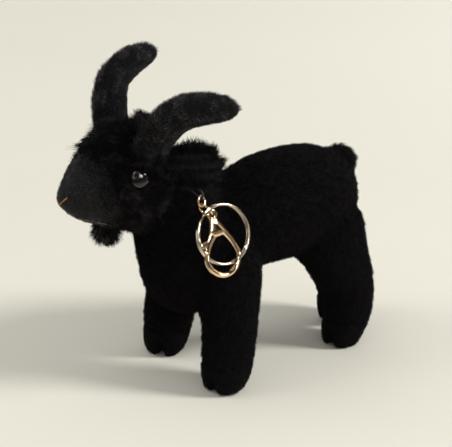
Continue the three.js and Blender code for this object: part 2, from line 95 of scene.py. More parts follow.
LEGS = {
    "front_left": [
        (16, -32, 75, 11, 16),
        (19.5, -33, 55, 14, 16),
        (23, -35, 31, 13.2, 13.6),
        (25, -39, -7, 12, 12.5),
    ],
    "front_right": [
        (-16, -36, 75, 11, 16),
        (-19.5, -38, 55, 14, 16),
        (-24.5, -43, 31, 13.2, 13.6),
        (-26.5, -47, -7, 12, 12.5),
    ],
    "rear_left": [
        (14, 26, 81, 11, 20),
        (14.5, 31, 57, 12.5, 19),
        (12.8, 42, 31, 12.4, 14.2),
        (11, 40.5, -7, 11.3, 12),
    ],
    "rear_right": [
        (-14, 28, 81, 11, 20),
        (-14.5, 38, 57, 12.5, 19),
        (-13.2, 53.5, 31, 12.6, 14.2),
        (-12, 56, -7, 11.3, 12),
    ],
}
HORNS = {
    "left": [
        (17, -74, 116, 8, 9),
        (22.8, -68.5, 132.6, 7.8, 8.6),
        (28, -59.5, 140.2, 7.2, 7.8),
        (32, -50, 141.5, 6.6, 7),
        (36, -38, 140.5, 5.2, 5.6),
    ],
    "right": [
        (-17, -74, 116, 8, 9),
        (-21, -74, 133, 7.6, 8.6),
        (-25, -70, 146, 7, 7.8),
        (-28, -58.5, 154, 6.2, 6.8),
        (-30, -45.8, 156.6, 5.2, 5.6),
    ],
}
EAR = [
    (13, -66, 113, 6.5, 2.6),
    (22, -60, 115.5, 9.5, 2.8),
    (31, -54, 117.5, 10, 2.6),
    (38, -47, 117, 7.5, 2),
]

HOOF_TOP = 15
BROW = 120  # lower edge of the forehead panel
MUZZLE_LOW = (-80, 77)  # y, z of the line where the smooth muzzle cover meets the pile
MUZZLE_HIGH = (-94, 127)
GUSSET_WIDE = 13
GUSSET_HIGH = 59
GUSSET_END = 52
SKIN = 1.4  # thickness of a sewn skin


def catmull(points, t):
    """A point of the centripetal Catmull-Rom curve through points, t from 0 to 1."""
    last = len(points) - 1
    i = min(int(last * t), last - 1)
    w = last * t - i
    p1, p2 = points[i], points[i + 1]
    p0 = points[i - 1] if i > 0 else 2 * p1 - p2
    p3 = points[i + 2] if i + 2 <= last else 2 * p2 - p1
    d0, d1, d2 = (max(np.linalg.norm(b - a) ** 0.5, 1e-4) for a, b in ((p0, p1), (p1, p2), (p2, p3)))
    m1 = ((p1 - p0) / d0 - (p2 - p0) / (d0 + d1) + (p2 - p1) / d1) * d1
    m2 = ((p2 - p1) / d1 - (p3 - p1) / (d1 + d2) + (p3 - p2) / d2) * d1
    return p1 + m1 * w + (-3 * p1 + 3 * p2 - 2 * m1 - m2) * w**2 + (2 * p1 - 2 * p2 + m1 + m2) * w**3


def unit(v):
    v = np.asarray(v, float)
    return v / np.maximum(np.linalg.norm(v, axis=-1, keepdims=True), 1e-9)


class Form:
    """A ball's rings strung along a curve. A fullness of 2 gives an egg, more gives a sausage."""

    def __init__(self, stations, side=(1, 0, 0), fullness=3.0):
        data = np.array(stations, float)
        self.spine = data[:, :3]
        self.girth = data[:, 3:]
        self.side = np.array(side, float)
        self.fullness = fullness

    def ring(self, along):
        """Middle, direction, the two half axes and their lengths, where along is 1 at the start."""
        t = min(max((1 - along) / 2, 0), 1)
        step = 1e-4
        tangent = unit(catmull(self.spine, min(t + step, 1)) - catmull(self.spine, max(t - step, 0)))
        wide = unit(self.side - tangent * (self.side @ tangent))
        tall = np.cross(tangent, wide)
        size = math.sqrt(max(0, 1 - abs(along) ** self.fullness))
        return catmull(self.spine, t), tangent, wide, tall, catmull(self.girth, t) * size

    def at(self, along, *angles):
        """A point of the surface for each angle, which turns about the middle line from the side."""
        middle, _, wide, tall, half = self.ring(along)
        spots = [middle + wide * math.cos(a) * half[0] + tall * math.sin(a) * half[1] for a in angles]
        return spots[0] if len(spots) == 1 else spots

    def grid(self, around, rings):
        """Vertices and quads of the closed form, with a triangle fan at each end."""
        angles = [2 * math.pi * k / around for k in range(around)]
        verts = [self.at(1, 0)]
        for i in range(1, rings):
            verts += self.at(math.cos(math.pi * i / rings), *angles)
        verts.append(self.at(-1, 0))
        faces = []
        for k in range(around):
            after = (k + 1) % around
            faces.append((0, 1 + after, 1 + k))
            for i in range(rings - 2):
                a = 1 + i * around
                faces.append((a + k, a + after, a + around + after, a + around + k))
            a = 1 + (rings - 2) * around
            faces.append((a + k, a + after, len(verts) - 1))
        return np.array(verts), faces


FORMS = {
    "torso": [Form(BARREL, fullness=3.4), Form(NECK, fullness=3.4)],
    "head": [Form(HEAD, fullness=2.8)],
    "tail": [Form(TAIL)],
}
for leg_name, stations in LEGS.items():
    FORMS["leg_" + leg_name] = [Form(stations, fullness=6)]
HEAD_FORM = FORMS["head"][0]

# ------------ mesh helpers


def mesh_object(name, verts, faces):
    """A new smooth object from points in millimetres."""
    mesh = bpy.data.meshes.new(name)
    mesh.from_pydata([tuple(v) for v in to_frame(verts)], [], faces)
    mesh.validate()
    mesh.shade_smooth()
    obj = bpy.data.objects.new(name, mesh)
    scene.collection.objects.link(obj)
    return obj


def points_of(mesh):
    """The vertices of a mesh in millimetres."""
    flat = np.zeros(len(mesh.vertices) * 3, np.float32)
    mesh.vertices.foreach_get("co", flat)
    return from_frame(flat.reshape(-1, 3))


def normals_of(mesh):
    flat = np.zeros(len(mesh.vertices) * 3, np.float32)
    mesh.vertex_normals.foreach_get("vector", flat)
    return flat.reshape(-1, 3).astype(float)


def set_points(mesh, points):
    mesh.vertices.foreach_set("co", to_frame(points).astype(np.float32).ravel())
    mesh.update()


def applied(obj):
    """Replaces obj's mesh with its mesh after modifiers, and takes the modifiers off."""
    graph = bpy.context.evaluated_depsgraph_get()
    mesh = bpy.data.meshes.new_from_object(obj.evaluated_get(graph))
    old = obj.data
    obj.modifiers.clear()
    obj.data = mesh
    bpy.data.meshes.remove(old)
    return obj


def modified(obj, kind, **settings):
    """Applies one modifier with those settings."""
    modifier = obj.modifiers.new(kind.lower(), kind)
    for key, value in settings.items():
        setattr(modifier, key, value)
    return applied(obj)


def outward(obj):
    """Turns every face of a closed mesh outwards."""
    bm = bmesh.new()
    bm.from_mesh(obj.data)
    bmesh.ops.recalc_face_normals(bm, faces=bm.faces)
    bm.to_mesh(obj.data)
    bm.free()
    obj.data.shade_smooth()
    return obj


def noise_at(points, size, seed=0.0):
    """Smooth noise between about -1 and 1 at points, with features of that size."""
    shift = Vector((seed, seed * 1.7, seed * 2.3))
    return np.array([noise.noise(Vector(p) / size + shift) for p in points])


def stack(parts):
    """Several (vertices, faces) as one."""
    verts = []
    faces = []
    for more_verts, more_faces in parts:
        start = sum(len(v) for v in verts)
        verts.append(np.asarray(more_verts))
        faces.extend(tuple(start + i for i in face) for face in more_faces)
    return np.vstack(verts), faces


def used_only(points, faces):
    """Those faces with only the points that they use."""
    used = sorted({i for face in faces for i in face})
    place = {index: k for k, index in enumerate(used)}
    return points[used], [tuple(place[i] for i in face) for face in faces]


def ring_of(middle, across, third, size, sides, squash=1.0):
    """Points of a circle about middle, in the plane of two unit vectors."""
    angles = 2 * math.pi * np.arange(sides) / sides
    return [middle + (across * math.cos(a) + third * math.sin(a) * squash) * size for a in angles]


def rod_faces(rings, sides):
    """Quads between neighbouring rings of vertices, and a flat face at each end."""
    faces = [tuple(range(sides))[::-1]]
    for i in range(rings - 1):
        for k in range(sides):
            after = (k + 1) % sides
            faces.append((i * sides + k, i * sides + after, (i + 1) * sides + after, (i + 1) * sides + k))
    faces.append(tuple((rings - 1) * sides + k for k in range(sides)))
    return faces


def tree_of(spots):
    """A tree that finds the nearest of those points."""
    tree = kdtree.KDTree(len(spots))
    for i, p in enumerate(spots):
        tree.insert(Vector(p), i)
    tree.balance()
    return tree


def placed(obj, material, body, nodes):
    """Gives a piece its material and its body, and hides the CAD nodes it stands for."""
    obj.data.materials.append(material)
    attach(obj, body)
    if nodes:
        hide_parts(*nodes)
    return obj


# ------------ stuffing by cloth simulation

SOLVER_SCALE = 10  # the solver is tuned for garments, so the toy is blown up by this first
PRESSURE = 4.0
STEPS = 20


def stuff(obj, held, cap):
    """Fills a closed skin: cloth under pressure, held at the seams, no point moving more than cap mm."""
    rest = points_of(obj.data)
    set_points(obj.data, rest * SOLVER_SCALE)
    group = obj.vertex_groups.new(name="sewn")
    group.add([int(i) for i in np.flatnonzero(held)], 1.0, "REPLACE")
    cloth = obj.modifiers.new("stuffing", "CLOTH")
    cloth.settings.vertex_group_mass = "sewn"
    cloth.settings.use_pressure = True
    cloth.settings.uniform_pressure_force = PRESSURE
    cloth.settings.effector_weights.gravity = 0
    cloth.point_cache.frame_start = 1
    cloth.point_cache.frame_end = STEPS
    for step in range(1, STEPS + 1):
        scene.frame_set(step)
    graph = bpy.context.evaluated_depsgraph_get()
    swollen = points_of(obj.evaluated_get(graph).data) / SOLVER_SCALE
    obj.modifiers.clear()
    obj.vertex_groups.clear()
    scene.frame_set(1)
    move = swollen - rest
    far = np.linalg.norm(move, axis=1, keepdims=True)
    set_points(obj.data, rest + move * np.minimum(1, cap / np.maximum(far, 1e-6)))


def subdivided(obj, levels):
    return modified(obj, "SUBSURF", levels=levels, render_levels=levels)


# ------------ the sewn body, head and legs

BODY_VOXEL = 3.0
SWELL = 1.1  # most that stuffing pushes a skin out between its seams


def cut_flat(verts, faces):
    """The part of a closed form that stands above the floor, closed by a flat sole."""
    bm = bmesh.new()
    spots = [bm.verts.new(tuple(v)) for v in verts]
    for face in faces:
        bm.faces.new([spots[i] for i in face])
    everything = list(bm.verts) + list(bm.edges) + list(bm.faces)
    ground = {"plane_co": (0, 0, 0), "plane_no": (0, 0, 1)}
    cut = bmesh.ops.bisect_plane(bm, geom=everything, clear_inner=True, **ground)
    rim = [e for e in cut["geom_cut"] if isinstance(e, bmesh.types.BMEdge)]
    bmesh.ops.edgeloop_fill(bm, edges=rim)
    bm.verts.ensure_lookup_table()
    bm.verts.index_update()
    result = np.array([v.co[:] for v in bm.verts]), [tuple(v.index for v in f.verts) for f in bm.faces]
    bm.free()
    return result


TREES = {name: tree_of(np.vstack([form.grid(48, 72)[0] for form in forms])) for name, forms in FORMS.items()}
NAMES = list(FORMS)


def nearest_forms(points):
    """Index in NAMES of the form each point belongs to, and its lead over the next form in mm."""
    reach = np.array([[TREES[name].find(Vector(p))[2] for name in NAMES] for p in points])
    order = np.sort(reach, axis=1)
    return reach.argmin(axis=1), order[:, 1] - order[:, 0]


def in_front_of_muzzle_line(points):
    """Distance in front of the muzzle line, in mm."""
    (y1, z1), (y2, z2) = MUZZLE_LOW, MUZZLE_HIGH
    length = math.hypot(y2 - y1, z2 - z1)
    return ((points[:, 2] - z1) * (y2 - y1) - (points[:, 1] - y1) * (z2 - z1)) / length


def seam_distance(points, form, lead):
    """Distance from each point to the nearest sewn seam."""
    x = np.abs(points[:, 0])
    z = points[:, 2]
    front = in_front_of_muzzle_line(points)
    far = np.full(len(points), 99.0)
    torso = form == NAMES.index("torso")
    head = form == NAMES.index("head")
    leg = form >= NAMES.index("leg_front_left")
    side_of_gusset = np.where(z < GUSSET_HIGH, np.abs(x - GUSSET_WIDE), x)
    top_of_gusset = np.where(x < GUSSET_WIDE, np.abs(z - GUSSET_HIGH), 99)
    far = np.where(torso, np.minimum(side_of_gusset, top_of_gusset), far)
    behind = np.where(z < BROW, np.minimum(x, np.abs(z - BROW)), np.abs(z - BROW))
    far = np.where(head, np.abs(front), far)
    far = np.where(head & (front < 0), np.minimum(far, behind), far)
    far = np.where(leg, np.abs(z - HOOF_TOP), far)
    return np.minimum(far, lead * 0.7)


def toy_body():
    """The joined body, head, tail and legs as one skin, stuffed and smoothed, at about 0.75 mm."""
    parts = []
    for name, forms in FORMS.items():
        for form in forms:
            verts, faces = form.grid(40, 36)
            if name.startswith("leg_"):
                verts, faces = cut_flat(verts, faces)
            parts.append((verts, faces))
    obj = outward(mesh_object("toy_body", *stack(parts)))
    modified(obj, "REMESH", mode="VOXEL", voxel_size=BODY_VOXEL * MM)
    modified(obj, "SMOOTH", factor=0.5, iterations=3)
    points = points_of(obj.data)
    form, lead = nearest_forms(points)
    sewn = seam_distance(points, form, lead) < 0.55 * BODY_VOXEL
    stuff(obj, sewn | (points[:, 2] < 0.5 * BODY_VOXEL), SWELL)
    return subdivided(obj, 2)


# How far each hoof's cleft faces outwards from straight ahead, in degrees.
CLEFT_TURN = {"front_left": 20, "front_right": 48, "rear_left": 12, "rear_right": -12}
CLEFT_DEEP = 2.6
CLEFT_WIDTH = 2.2
SOLE_NOTCH = 3.2
SOLE_HIGH = 6  # the cleft runs on under the sole up to this height


def clefts(points, form):
    """How each hoof is drawn in at its cleft: a dent down the front that runs on under the sole."""
    move = np.zeros_like(points)
    for name, turn in CLEFT_TURN.items():
        angle = math.radians(turn)
        toe = np.array((math.sin(angle), -math.cos(angle), 0))
        across = np.array((math.cos(angle), math.sin(angle), 0))
        own = (form == NAMES.index("leg_" + name)) & (points[:, 2] < HOOF_TOP)
        low = own & (points[:, 2] < SOLE_HIGH)
        offset = points - (points[low].min(axis=0) + points[low].max(axis=0)) / 2
        dent = np.exp(-((offset @ across / CLEFT_WIDTH) ** 2)) * np.clip((offset @ toe - 1) / 5, 0, 1)
        fade = np.clip((HOOF_TOP - 3 - points[:, 2]) / 5, 0, 1)
        lift = np.clip(1 - points[:, 2] / SOLE_HIGH, 0, 1)
        move -= toe * (own * CLEFT_DEEP * dent * fade)[:, None]
        move[:, 2] += own * SOLE_NOTCH * dent * lift
    return move


GROOVE = 0.75
GROOVE_WIDTH = 1.0
PILE_LENGTH = 1.45
PILE_ROOM = 0.55 * PILE_LENGTH  # how far the skin lies in from the outside of its pile
HEAD_ROOM = 0.5  # and how much further in on the head, where the pile is longer
CLUMPS = ((0.32, 2.6, 3), (0.2, 1.3, 8))  # height, size and seed of the pile's clumps
LUMPS = (0.45, 11, 5)
SMOOTH_SHARE = 0.25
SLEEVE_ROLL = 0.5  # each leg's sleeve bulges over the hoof's seam
SLEEVE_FADE = 9
MUZZLE_EDGE = -0.4  # the muzzle cover swells from this at its edge
MUZZLE_FULL = 0.5
MUZZLE_FADE = 5
HOOF_SPREAD = 0.5  # the hoof's fabric spreads under the goat's weight
HOOF_FORWARD = {"front_left": 1.2, "front_right": 1.2, "rear_left": 2.6, "rear_right": 2.6}
EYE_RADIUS = 4.6
EYE_SEAT = (19.6, -78, 111.5)
EYE_LOOK = (1, -0.22, 0.12)
SEAT_DEPTH = 0.6
SEAT_EDGE = 2.2  # the pressed skin reaches this far beyond the flange
SEAT_FADE = 1.6


def bumps(points, height, size, seed):
    return height * noise_at(points, size, seed)


def eye_axis(sign):
    """Middle of the eye's flange and the way the eye looks, on the left (1) or the right (-1)."""
    flip = np.array((sign, 1, 1))
    return flip * EYE_SEAT, unit(flip * EYE_LOOK)


def eye_seats(points):
    """Presses the skin flat behind the flange of each safety eye."""
    for sign in (1, -1):
        seat, look = eye_axis(sign)
        offset = points - seat
        height = offset @ look
        reach = np.linalg.norm(offset - height[:, None] * look, axis=1)
        share = np.clip((EYE_RADIUS + SEAT_EDGE - reach) / SEAT_FADE, 0, 1)
        points = points - look * (np.maximum(height + SEAT_DEPTH, 0) * share)[:, None]
    return points


def add_relief(obj):
    """Seams drawn in, clumps of pile raised, hooves cloven."""
    points = points_of(obj.data)
    form, lead = nearest_forms(points)
    front = in_front_of_muzzle_line(points)
    above = points[:, 2] - HOOF_TOP
    low = np.clip(1 - points[:, 2] / HOOF_TOP, 0, 1)
    head = form == NAMES.index("head")
    leg = form >= NAMES.index("leg_front_left")
    smooth_cloth = (head & (front > 0)) | (leg & (above < 0))
    clumps = bumps(points, *CLUMPS[0]) + bumps(points, *CLUMPS[1])
    push = np.where(smooth_cloth, SMOOTH_SHARE * clumps, clumps) + bumps(points, *LUMPS)
    push -= GROOVE * np.exp(-((seam_distance(points, form, lead) / GROOVE_WIDTH) ** 2))
    push += np.where(leg & (above > 0), SLEEVE_ROLL * np.exp(-above / SLEEVE_FADE), 0)
    push -= np.where(smooth_cloth, 0, PILE_ROOM) + np.where(head & (front < 0), HEAD_ROOM, 0)
    push += np.where(leg & (above < 0), HOOF_SPREAD * low, 0)
    fuller = MUZZLE_EDGE + (MUZZLE_FULL - MUZZLE_EDGE) * np.clip(front / MUZZLE_FADE, 0, 1)
    push += np.where(head & (front > 0), fuller, 0)
    moved = eye_seats(points + normals_of(obj.data) * push[:, None])
    for name, forward in HOOF_FORWARD.items():
        own = form == NAMES.index("leg_" + name)
        moved[:, 1] -= own * forward * low
    moved += clefts(points, form)
    moved[:, 2] = np.maximum(moved[:, 2], 0)
    set_points(obj.data, moved)


def split_by_seams(obj):
    """Cuts the skin along its seams and gives {panel name: (vertices in mm, faces)}."""
    bm = bmesh.new()
    bm.from_mesh(obj.data)
    form, _ = nearest_forms(from_frame([f.calc_center_median()[:] for f in bm.faces]))
    layer = bm.faces.layers.int.new("form")
    for face, index in zip(bm.faces, form):
        face[layer] = int(index)

    def ahead(face):
        return in_front_of_muzzle_line(from_frame([face.calc_center_median()[:]]))[0]

    def part_of(face):
        """The names of the part this face is in, for the seams."""
        name = NAMES[face[layer]]
        if name == "head" and ahead(face) < 0:
            return ("head", "crown")
        return (name, name.split("_")[0])

    dy = MUZZLE_HIGH[0] - MUZZLE_LOW[0]
    dz = MUZZLE_HIGH[1] - MUZZLE_LOW[1]
    seams = (
        ("head", (0, *MUZZLE_LOW), (0, -dz, dy)),
        ("crown", (0, 0, BROW), (0, 0, 1)),
        ("crown", (0, 0, 0), (1, 0, 0)),
        ("torso", (0, 0, 0), (1, 0, 0)),
        ("torso", (0, 0, GUSSET_HIGH), (0, 0, 1)),
        ("torso", (GUSSET_WIDE, 0, 0), (1, 0, 0)),
        ("torso", (-GUSSET_WIDE, 0, 0), (1, 0, 0)),
        ("leg", (0, 0, HOOF_TOP), (0, 0, 1)),
    )
    for part, at, normal in seams:
        faces = [f for f in bm.faces if part in part_of(f)]
        edges = list(dict.fromkeys(e for f in faces for e in f.edges))
        verts = list(dict.fromkeys(v for f in faces for v in f.verts))
        cut = {"plane_co": tuple(to_frame(at)), "plane_no": normal, "dist": 1e-6}
        bmesh.ops.bisect_plane(bm, geom=verts + edges + faces, **cut)

    panels = {}
    for face in bm.faces:
        x, y, z = from_frame(face.calc_center_median()[:])
        side = "left" if x > 0 else "right"
        name = NAMES[face[layer]]
        if name == "torso":
            under = abs(x) < GUSSET_WIDE and z < GUSSET_HIGH and y < GUSSET_END
            name = "belly_gusset" if under else "body_panel_" + side
        elif name == "head" and ahead(face) > 0:
            name = "muzzle_cover"
        elif name == "head":
            name = "forehead_panel" if z > BROW else "head_panel_" + side
        elif name == "tail":
            name = "tail_cover"
        elif z <= HOOF_TOP:
            name = name.replace("leg_", "hoof_")
        panels.setdefault(name, []).append(face)
    bm.verts.index_update()
    points = from_frame([v.co[:] for v in bm.verts])
    result = {}
    for panel, faces in panels.items():
        result[panel] = used_only(points, [tuple(v.index for v in f.verts) for f in faces])
    bm.free()
    return result


def skin_panel(name, shape, smooth, nodes, body="goat", thick=SKIN, cloth=None):
    """A sewn panel: a sheet of fabric with its own thickness, standing for CAD nodes."""
    obj = mesh_object(name, *shape)
    fabric = obj.modifiers.new("fabric", "SOLIDIFY")
    fabric.thickness = thick * MM
    fabric.offset = -1
    material = cloth or (SUEDE if smooth else PILE)
    return placed(obj, material, body, nodes)


# ------------ materials


def shader(name):
    """A node material; returns it, its node tree and its Principled node."""
    material = bpy.data.materials.new(name)
    material.use_nodes = True
    tree = material.node_tree
    return material, tree, tree.nodes["Principled BSDF"]


def fill(tree, target, inputs):
    """Sets a shader node's inputs: a socket is linked, anything else is a value."""
    for key, value in inputs.items():
        if isinstance(value, bpy.types.NodeSocket):
            tree.links.new(value, target.inputs[key])
        else:
            target.inputs[key].default_value = value


def node(tree, kind, output, inputs=None, **settings):
    """Adds a shader node with those settings and inputs, and gives its named output."""
    made = tree.nodes.new("ShaderNode" + kind)
    for key, value in settings.items():
        setattr(made, key, value)
    fill(tree, made, inputs or {})
    return made.outputs[output]


def mixed(tree, share, first, second, blend_type="MIX"):
    inputs = {"Factor": share, "A": first, "B": second}
    return node(tree, "Mix", "Result", inputs, data_type="RGBA", blend_type=blend_type)


def times(tree, first, second):
    return node(tree, "Math", "Value", {0: first, 1: second}, operation="MULTIPLY")


def ranged(tree, value, source, target=(0, 1)):
    """A value carried from one range to another."""
    ends = {"From Min": source[0], "From Max": source[1], "To Min": target[0], "To Max": target[1]}
    return node(tree, "MapRange", "Result", {"Value": value, **ends})


def cloud(tree, scale, detail, where=None):
    """The strength of a noise pattern, in object space unless told otherwise."""
    where = where or node(tree, "TexCoord", "Object")
    return node(tree, "TexNoise", "Fac", {"Scale": scale, "Detail": detail, "Vector": where})


def ramp(tree, value, ends, dark, light):
    """A colour that goes from dark to light between the two ends."""
    made = tree.nodes.new("ShaderNodeValToRGB")
    for element, position, colour in zip(made.color_ramp.elements, ends, (dark, light)):
        element.position = position
        element.color = (*colour, 1)
    tree.links.new(value, made.inputs["Fac"])
    return made.outputs["Color"]


def bumped(tree, base, height, distance, strength=1.0):
    bump = {"Height": height, "Distance": distance, "Strength": strength}
    fill(tree, base, {"Normal": node(tree, "Bump", "Normal", bump)})


def cloth_material(name, dark, light, grain, sheen, bump):
    """Fabric with a fine pile: grain is the size of its clumps in mm."""
    material, tree, base = shader(name)
    patches = cloud(tree, 1 / (6 * grain * MM), 4)
    looks = {"Base Color": ramp(tree, patches, (0.35, 0.7), dark, light), "Roughness": 0.95}
    looks.update({"Specular IOR Level": 0.08, "Sheen Weight": sheen})
    looks.update({"Sheen Roughness": 0.45, "Sheen Tint": (0.8, 0.8, 0.9, 1)})
    fill(tree, base, looks)
    bumped(tree, base, cloud(tree, 1 / (grain * MM), 6), bump * MM)
    return material


def fur_material(name, root, tip, sheen, sheen_speckle=True):
    """Pile fibres, darker at the root, with some strands a shade lighter towards the tip than others; these
    lighter tips are painted sheen.
    Sheen speckle keeps the painted sheen to patches, as pile pressed different ways catches the light in
    patches."""
    material, tree, base = shader(name)
    strand = tree.nodes.new("ShaderNodeHairInfo")
    # share is how far each strand turns from its root colour to its tip colour; the lighter tip colour is
    # painted sheen
    share = times(tree, strand.outputs["Intercept"], strand.outputs["Random"])
    if sheen_speckle:
        share = times(tree, share, ranged(tree, cloud(tree, 190, 3), (0.47, 0.66)))
    looks = {"Base Color": mixed(tree, share, (*root, 1), (*tip, 1)), "Roughness": 0.62}
    looks.update({"Specular IOR Level": 0.06, "Sheen Weight": sheen, "Sheen Roughness": 0.5})
    fill(tree, base, looks)
    return material


def gilt_material(name, tone, roughness):
    """Polished plated metal with faint smears and fine scratches."""
    material, tree, base = shader(name)
    smear = cloud(tree, 260, 5)
    worn = tuple(0.86 * c for c in tone)
    looks = {"Base Color": mixed(tree, smear, (*tone, 1), (*worn, 1)), "Metallic": 1}
    looks["Roughness"] = ranged(tree, smear, (0, 1), (roughness * 0.6, roughness * 1.6))
    fill(tree, base, looks)
    along = {"Vector": node(tree, "TexCoord", "Object"), "Scale": (1, 0.08, 1)}
    scratches = cloud(tree, 1800, 2, node(tree, "Mapping", "Vector", along))
    bumped(tree, base, scratches, 0.01 * MM, 0.5)
    return material


def plastic_material(name, colour, roughness, coat):
    """Moulded plastic under a thin clear coat."""
    material, tree, base = shader(name)
    haze = cloud(tree, 900, 4)
    light = tuple(1.25 * c for c in colour)
    looks = {"Base Color": ramp(tree, haze, (0.4, 0.6), colour, light), "Specular IOR Level": 0.3}
    looks["Roughness"] = ranged(tree, haze, (0, 1), (roughness * 0.7, roughness * 1.4))
    looks.update({"Coat Weight": coat, "Coat Roughness": 0.03})
    fill(tree, base, looks)
    return material


def thread_material(name, dark, light, roughness, metallic=0.0):
    """Twisted fibre with a fine grain and a little change of colour."""
    material, tree, base = shader(name)
    fine = cloud(tree, 2600, 3)
    colour = ramp(tree, fine, (0.35, 0.65), dark, light)
    fill(tree, base, {"Base Color": colour, "Roughness": roughness, "Metallic": metallic})
    bumped(tree, base, fine, 0.08 * MM)
    return material


PILE = cloth_material("pile_backing", (0.0012, 0.0008, 0.0009), (0.0028, 0.0020, 0.0022), 0.5, 0.01, 0.35)
SUEDE = cloth_material("smooth_pile", (0.0030, 0.0026, 0.0029), (0.0110, 0.0100, 0.0107), 0.3, 0.32, 0.14)
HORN_CLOTH = cloth_material("horn_pile", (0.0016, 0.0014, 0.0015), (0.0070, 0.0062, 0.0067), 0.35, 0.10, 0.2)
# Each fibre's tip colour is painted sheen: the lighter tips, speckled in patches on the head, muzzle, horns
# and beard, stand in for the pile's sheen and highlights
FUR = fur_material("pile_fibre", (0.0010, 0.0006, 0.0007), (0.0075, 0.0050, 0.0056), 0.02, sheen_speckle=False)
HEAD_FUR = fur_material("head_fibre", (0.0014, 0.0010, 0.0011), (0.060, 0.050, 0.054), 0.03)
SHORT_FUR = fur_material("short_fibre", (0.0040, 0.0035, 0.0039), (0.085, 0.078, 0.083), 0.32)
HORN_FUR = fur_material("horn_fibre", (0.0016, 0.0014, 0.0015), (0.220, 0.205, 0.215), 0.12)
GILT = gilt_material("gilt", (0.95, 0.69, 0.43), 0.09)
PALE_GILT = gilt_material("pale_gilt", (0.93, 0.77, 0.60), 0.11)
STEEL = gilt_material("spring_steel", (0.62, 0.61, 0.59), 0.3)
EYE = plastic_material("eye_gloss", (0.004, 0.0025, 0.0025), 0.05, 0.5)
COPPER = thread_material("copper_thread", (0.28, 0.11, 0.035), (0.62, 0.30, 0.11), 0.42, 0.35)
MOUTH_THREAD = thread_material("mouth_thread", (0.20, 0.10, 0.075), (0.46, 0.28, 0.21), 0.5, 0.2)
CORD = thread_material("black_cord", (0.004, 0.004, 0.004), (0.014, 0.013, 0.013), 0.7)

# ------------ pile and long hair

SEED = 20240
noise.seed_set(SEED)
throws = itertools.count(1)
THIN_OUT = 1.0


def dice():
    """Fresh random numbers for each throw, the same ones on every run."""
    return np.random.default_rng(SEED + next(throws))


def sample_surface(obj, density, keep=None):
    """Random points of the mesh with their normals; density in strands per square mm."""
    mesh = obj.data
    mesh.calc_loop_triangles()
    corner = np.zeros(len(mesh.loop_triangles) * 3, np.int32)
    mesh.loop_triangles.foreach_get("vertices", corner)
    corner = corner.reshape(-1, 3)
    points = points_of(mesh)
    normals = normals_of(mesh)
    a, b, c = (points[corner[:, k]] for k in range(3))
    area = 0.5 * np.linalg.norm(np.cross(b - a, c - a), axis=1)
    count = 100 * round(area.sum() * density * THIN_OUT / 100)
    face = np.searchsorted(np.cumsum(area) / area.sum(), dice().random(count))
    face = np.minimum(face, len(area) - 1)
    u, v = dice().random(count), dice().random(count)
    over = u + v > 1
    u, v = np.where(over, 1 - u, u), np.where(over, 1 - v, v)
    weight = np.stack([1 - u - v, u, v], axis=1)[:, :, None]
    spot = (points[corner[face]] * weight).sum(axis=1)
    normal = unit((normals[corner[face]] * weight).sum(axis=1))
    if keep is not None:
        chosen = keep(spot)
        spot, normal = spot[chosen], normal[chosen]
    return spot, normal


CLUMP_SIZE = 2.4


def strand_points(spot, normal, comb, length, lift, wander, curl, steps):
    """Points along each strand: out of the skin, laid over towards comb, with neighbours clumped."""
    comb = comb(spot) if callable(comb) else np.tile(np.array(comb, float), (len(spot), 1))
    lay = comb - normal * (comb * normal).sum(axis=1, keepdims=True)
    clump = np.array([noise.noise_vector(Vector(p) / CLUMP_SIZE) for p in spot]).reshape(-1, 3)
    loose = dice().normal(size=spot.shape) * wander
    start = unit(normal * lift + lay * 0.6 + clump * 0.9 + loose)
    size = length * (0.72 + 0.4 * dice().random(len(spot)))[:, None]
    bend = unit(lay + 1e-6) * curl + clump * 0.35
    share = np.linspace(0, 1, steps)
    return np.stack([spot + start * size * s + bend * size * s * s for s in share], axis=1)


def grow(skin, density, comb, style, keep=None, steps=6):
    """Strands from a piece's surface; a style is the strands' length, lift, wander and curl."""
    spot, normal = sample_surface(skin, density, keep)
    return strand_points(spot, normal, comb, *style, steps)


def hair(name, body, batches, material, root, tip):
    """One hair object from batches of strand points. Root and tip are strand radii in mm."""
    strands = np.vstack(batches)
    curves = bpy.data.hair_curves.new(name)
    steps = strands.shape[1]
    curves.add_curves([steps] * len(strands))
    curves.attributes["position"].data.foreach_set("vector", to_frame(strands).astype(np.float32).ravel())
    taper = np.linspace(root, tip, steps) * MM
    radius = curves.attributes.new("radius", "FLOAT", "POINT")
    radius.data.foreach_set("value", np.tile(taper, len(strands)).astype(np.float32))
    obj = bpy.data.objects.new(name, curves)
    scene.collection.objects.link(obj)
    curves.materials.append(material)
    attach(obj, body)
    return obj


def lock_mesh(strands, width, sides=5):
    """Tapered locks of long pile, one closed spindle along each strand."""
    parts = []
    for line in strands:
        steps = len(line)
        verts = []
        for i, middle in enumerate(line):
            ahead = line[min(i + 1, steps - 1)] - line[max(i - 1, 0)]
            across = unit(np.cross(ahead, (0.31, 0.52, 0.79)))
            third = unit(np.cross(ahead, across))
            share = i / (steps - 1)
            size = width * (0.55 + 0.9 * share) * (1 - share) ** 0.8 if i < steps - 1 else 0.02
            verts += ring_of(middle, across, third, size, sides, 0.7)
        parts.append((np.array(verts), rod_faces(steps, sides)))
    return stack(parts)


def locks(name, body, strands, width):
    placed(outward(mesh_object(name, *lock_mesh(strands, width))), PILE, body, [])


# ------------ build the body

body_skin = toy_body()
add_relief(body_skin)
panels = split_by_seams(body_skin)
inside = {
    "body_panel_left": ["body_filling"],
    "muzzle_cover": ["head_filling"],
    "tail_cover": ["tail_filling"],
}
for leg_name in LEGS:
    inside["leg_" + leg_name] = ["leg_filling_" + leg_name]
skins = {}
for panel, shape in sorted(panels.items()):
    nodes = [panel] + inside.get(panel, [])
    skins[panel] = skin_panel(panel + "_skin", shape, panel == "muzzle_cover", nodes)
body_mesh = body_skin.data
surface = BVHTree.FromPolygons(
    [v.co[:] for v in body_mesh.vertices], [tuple(p.vertices) for p in body_mesh.polygons]
)
bpy.data.objects.remove(body_skin)

# ------------ horns


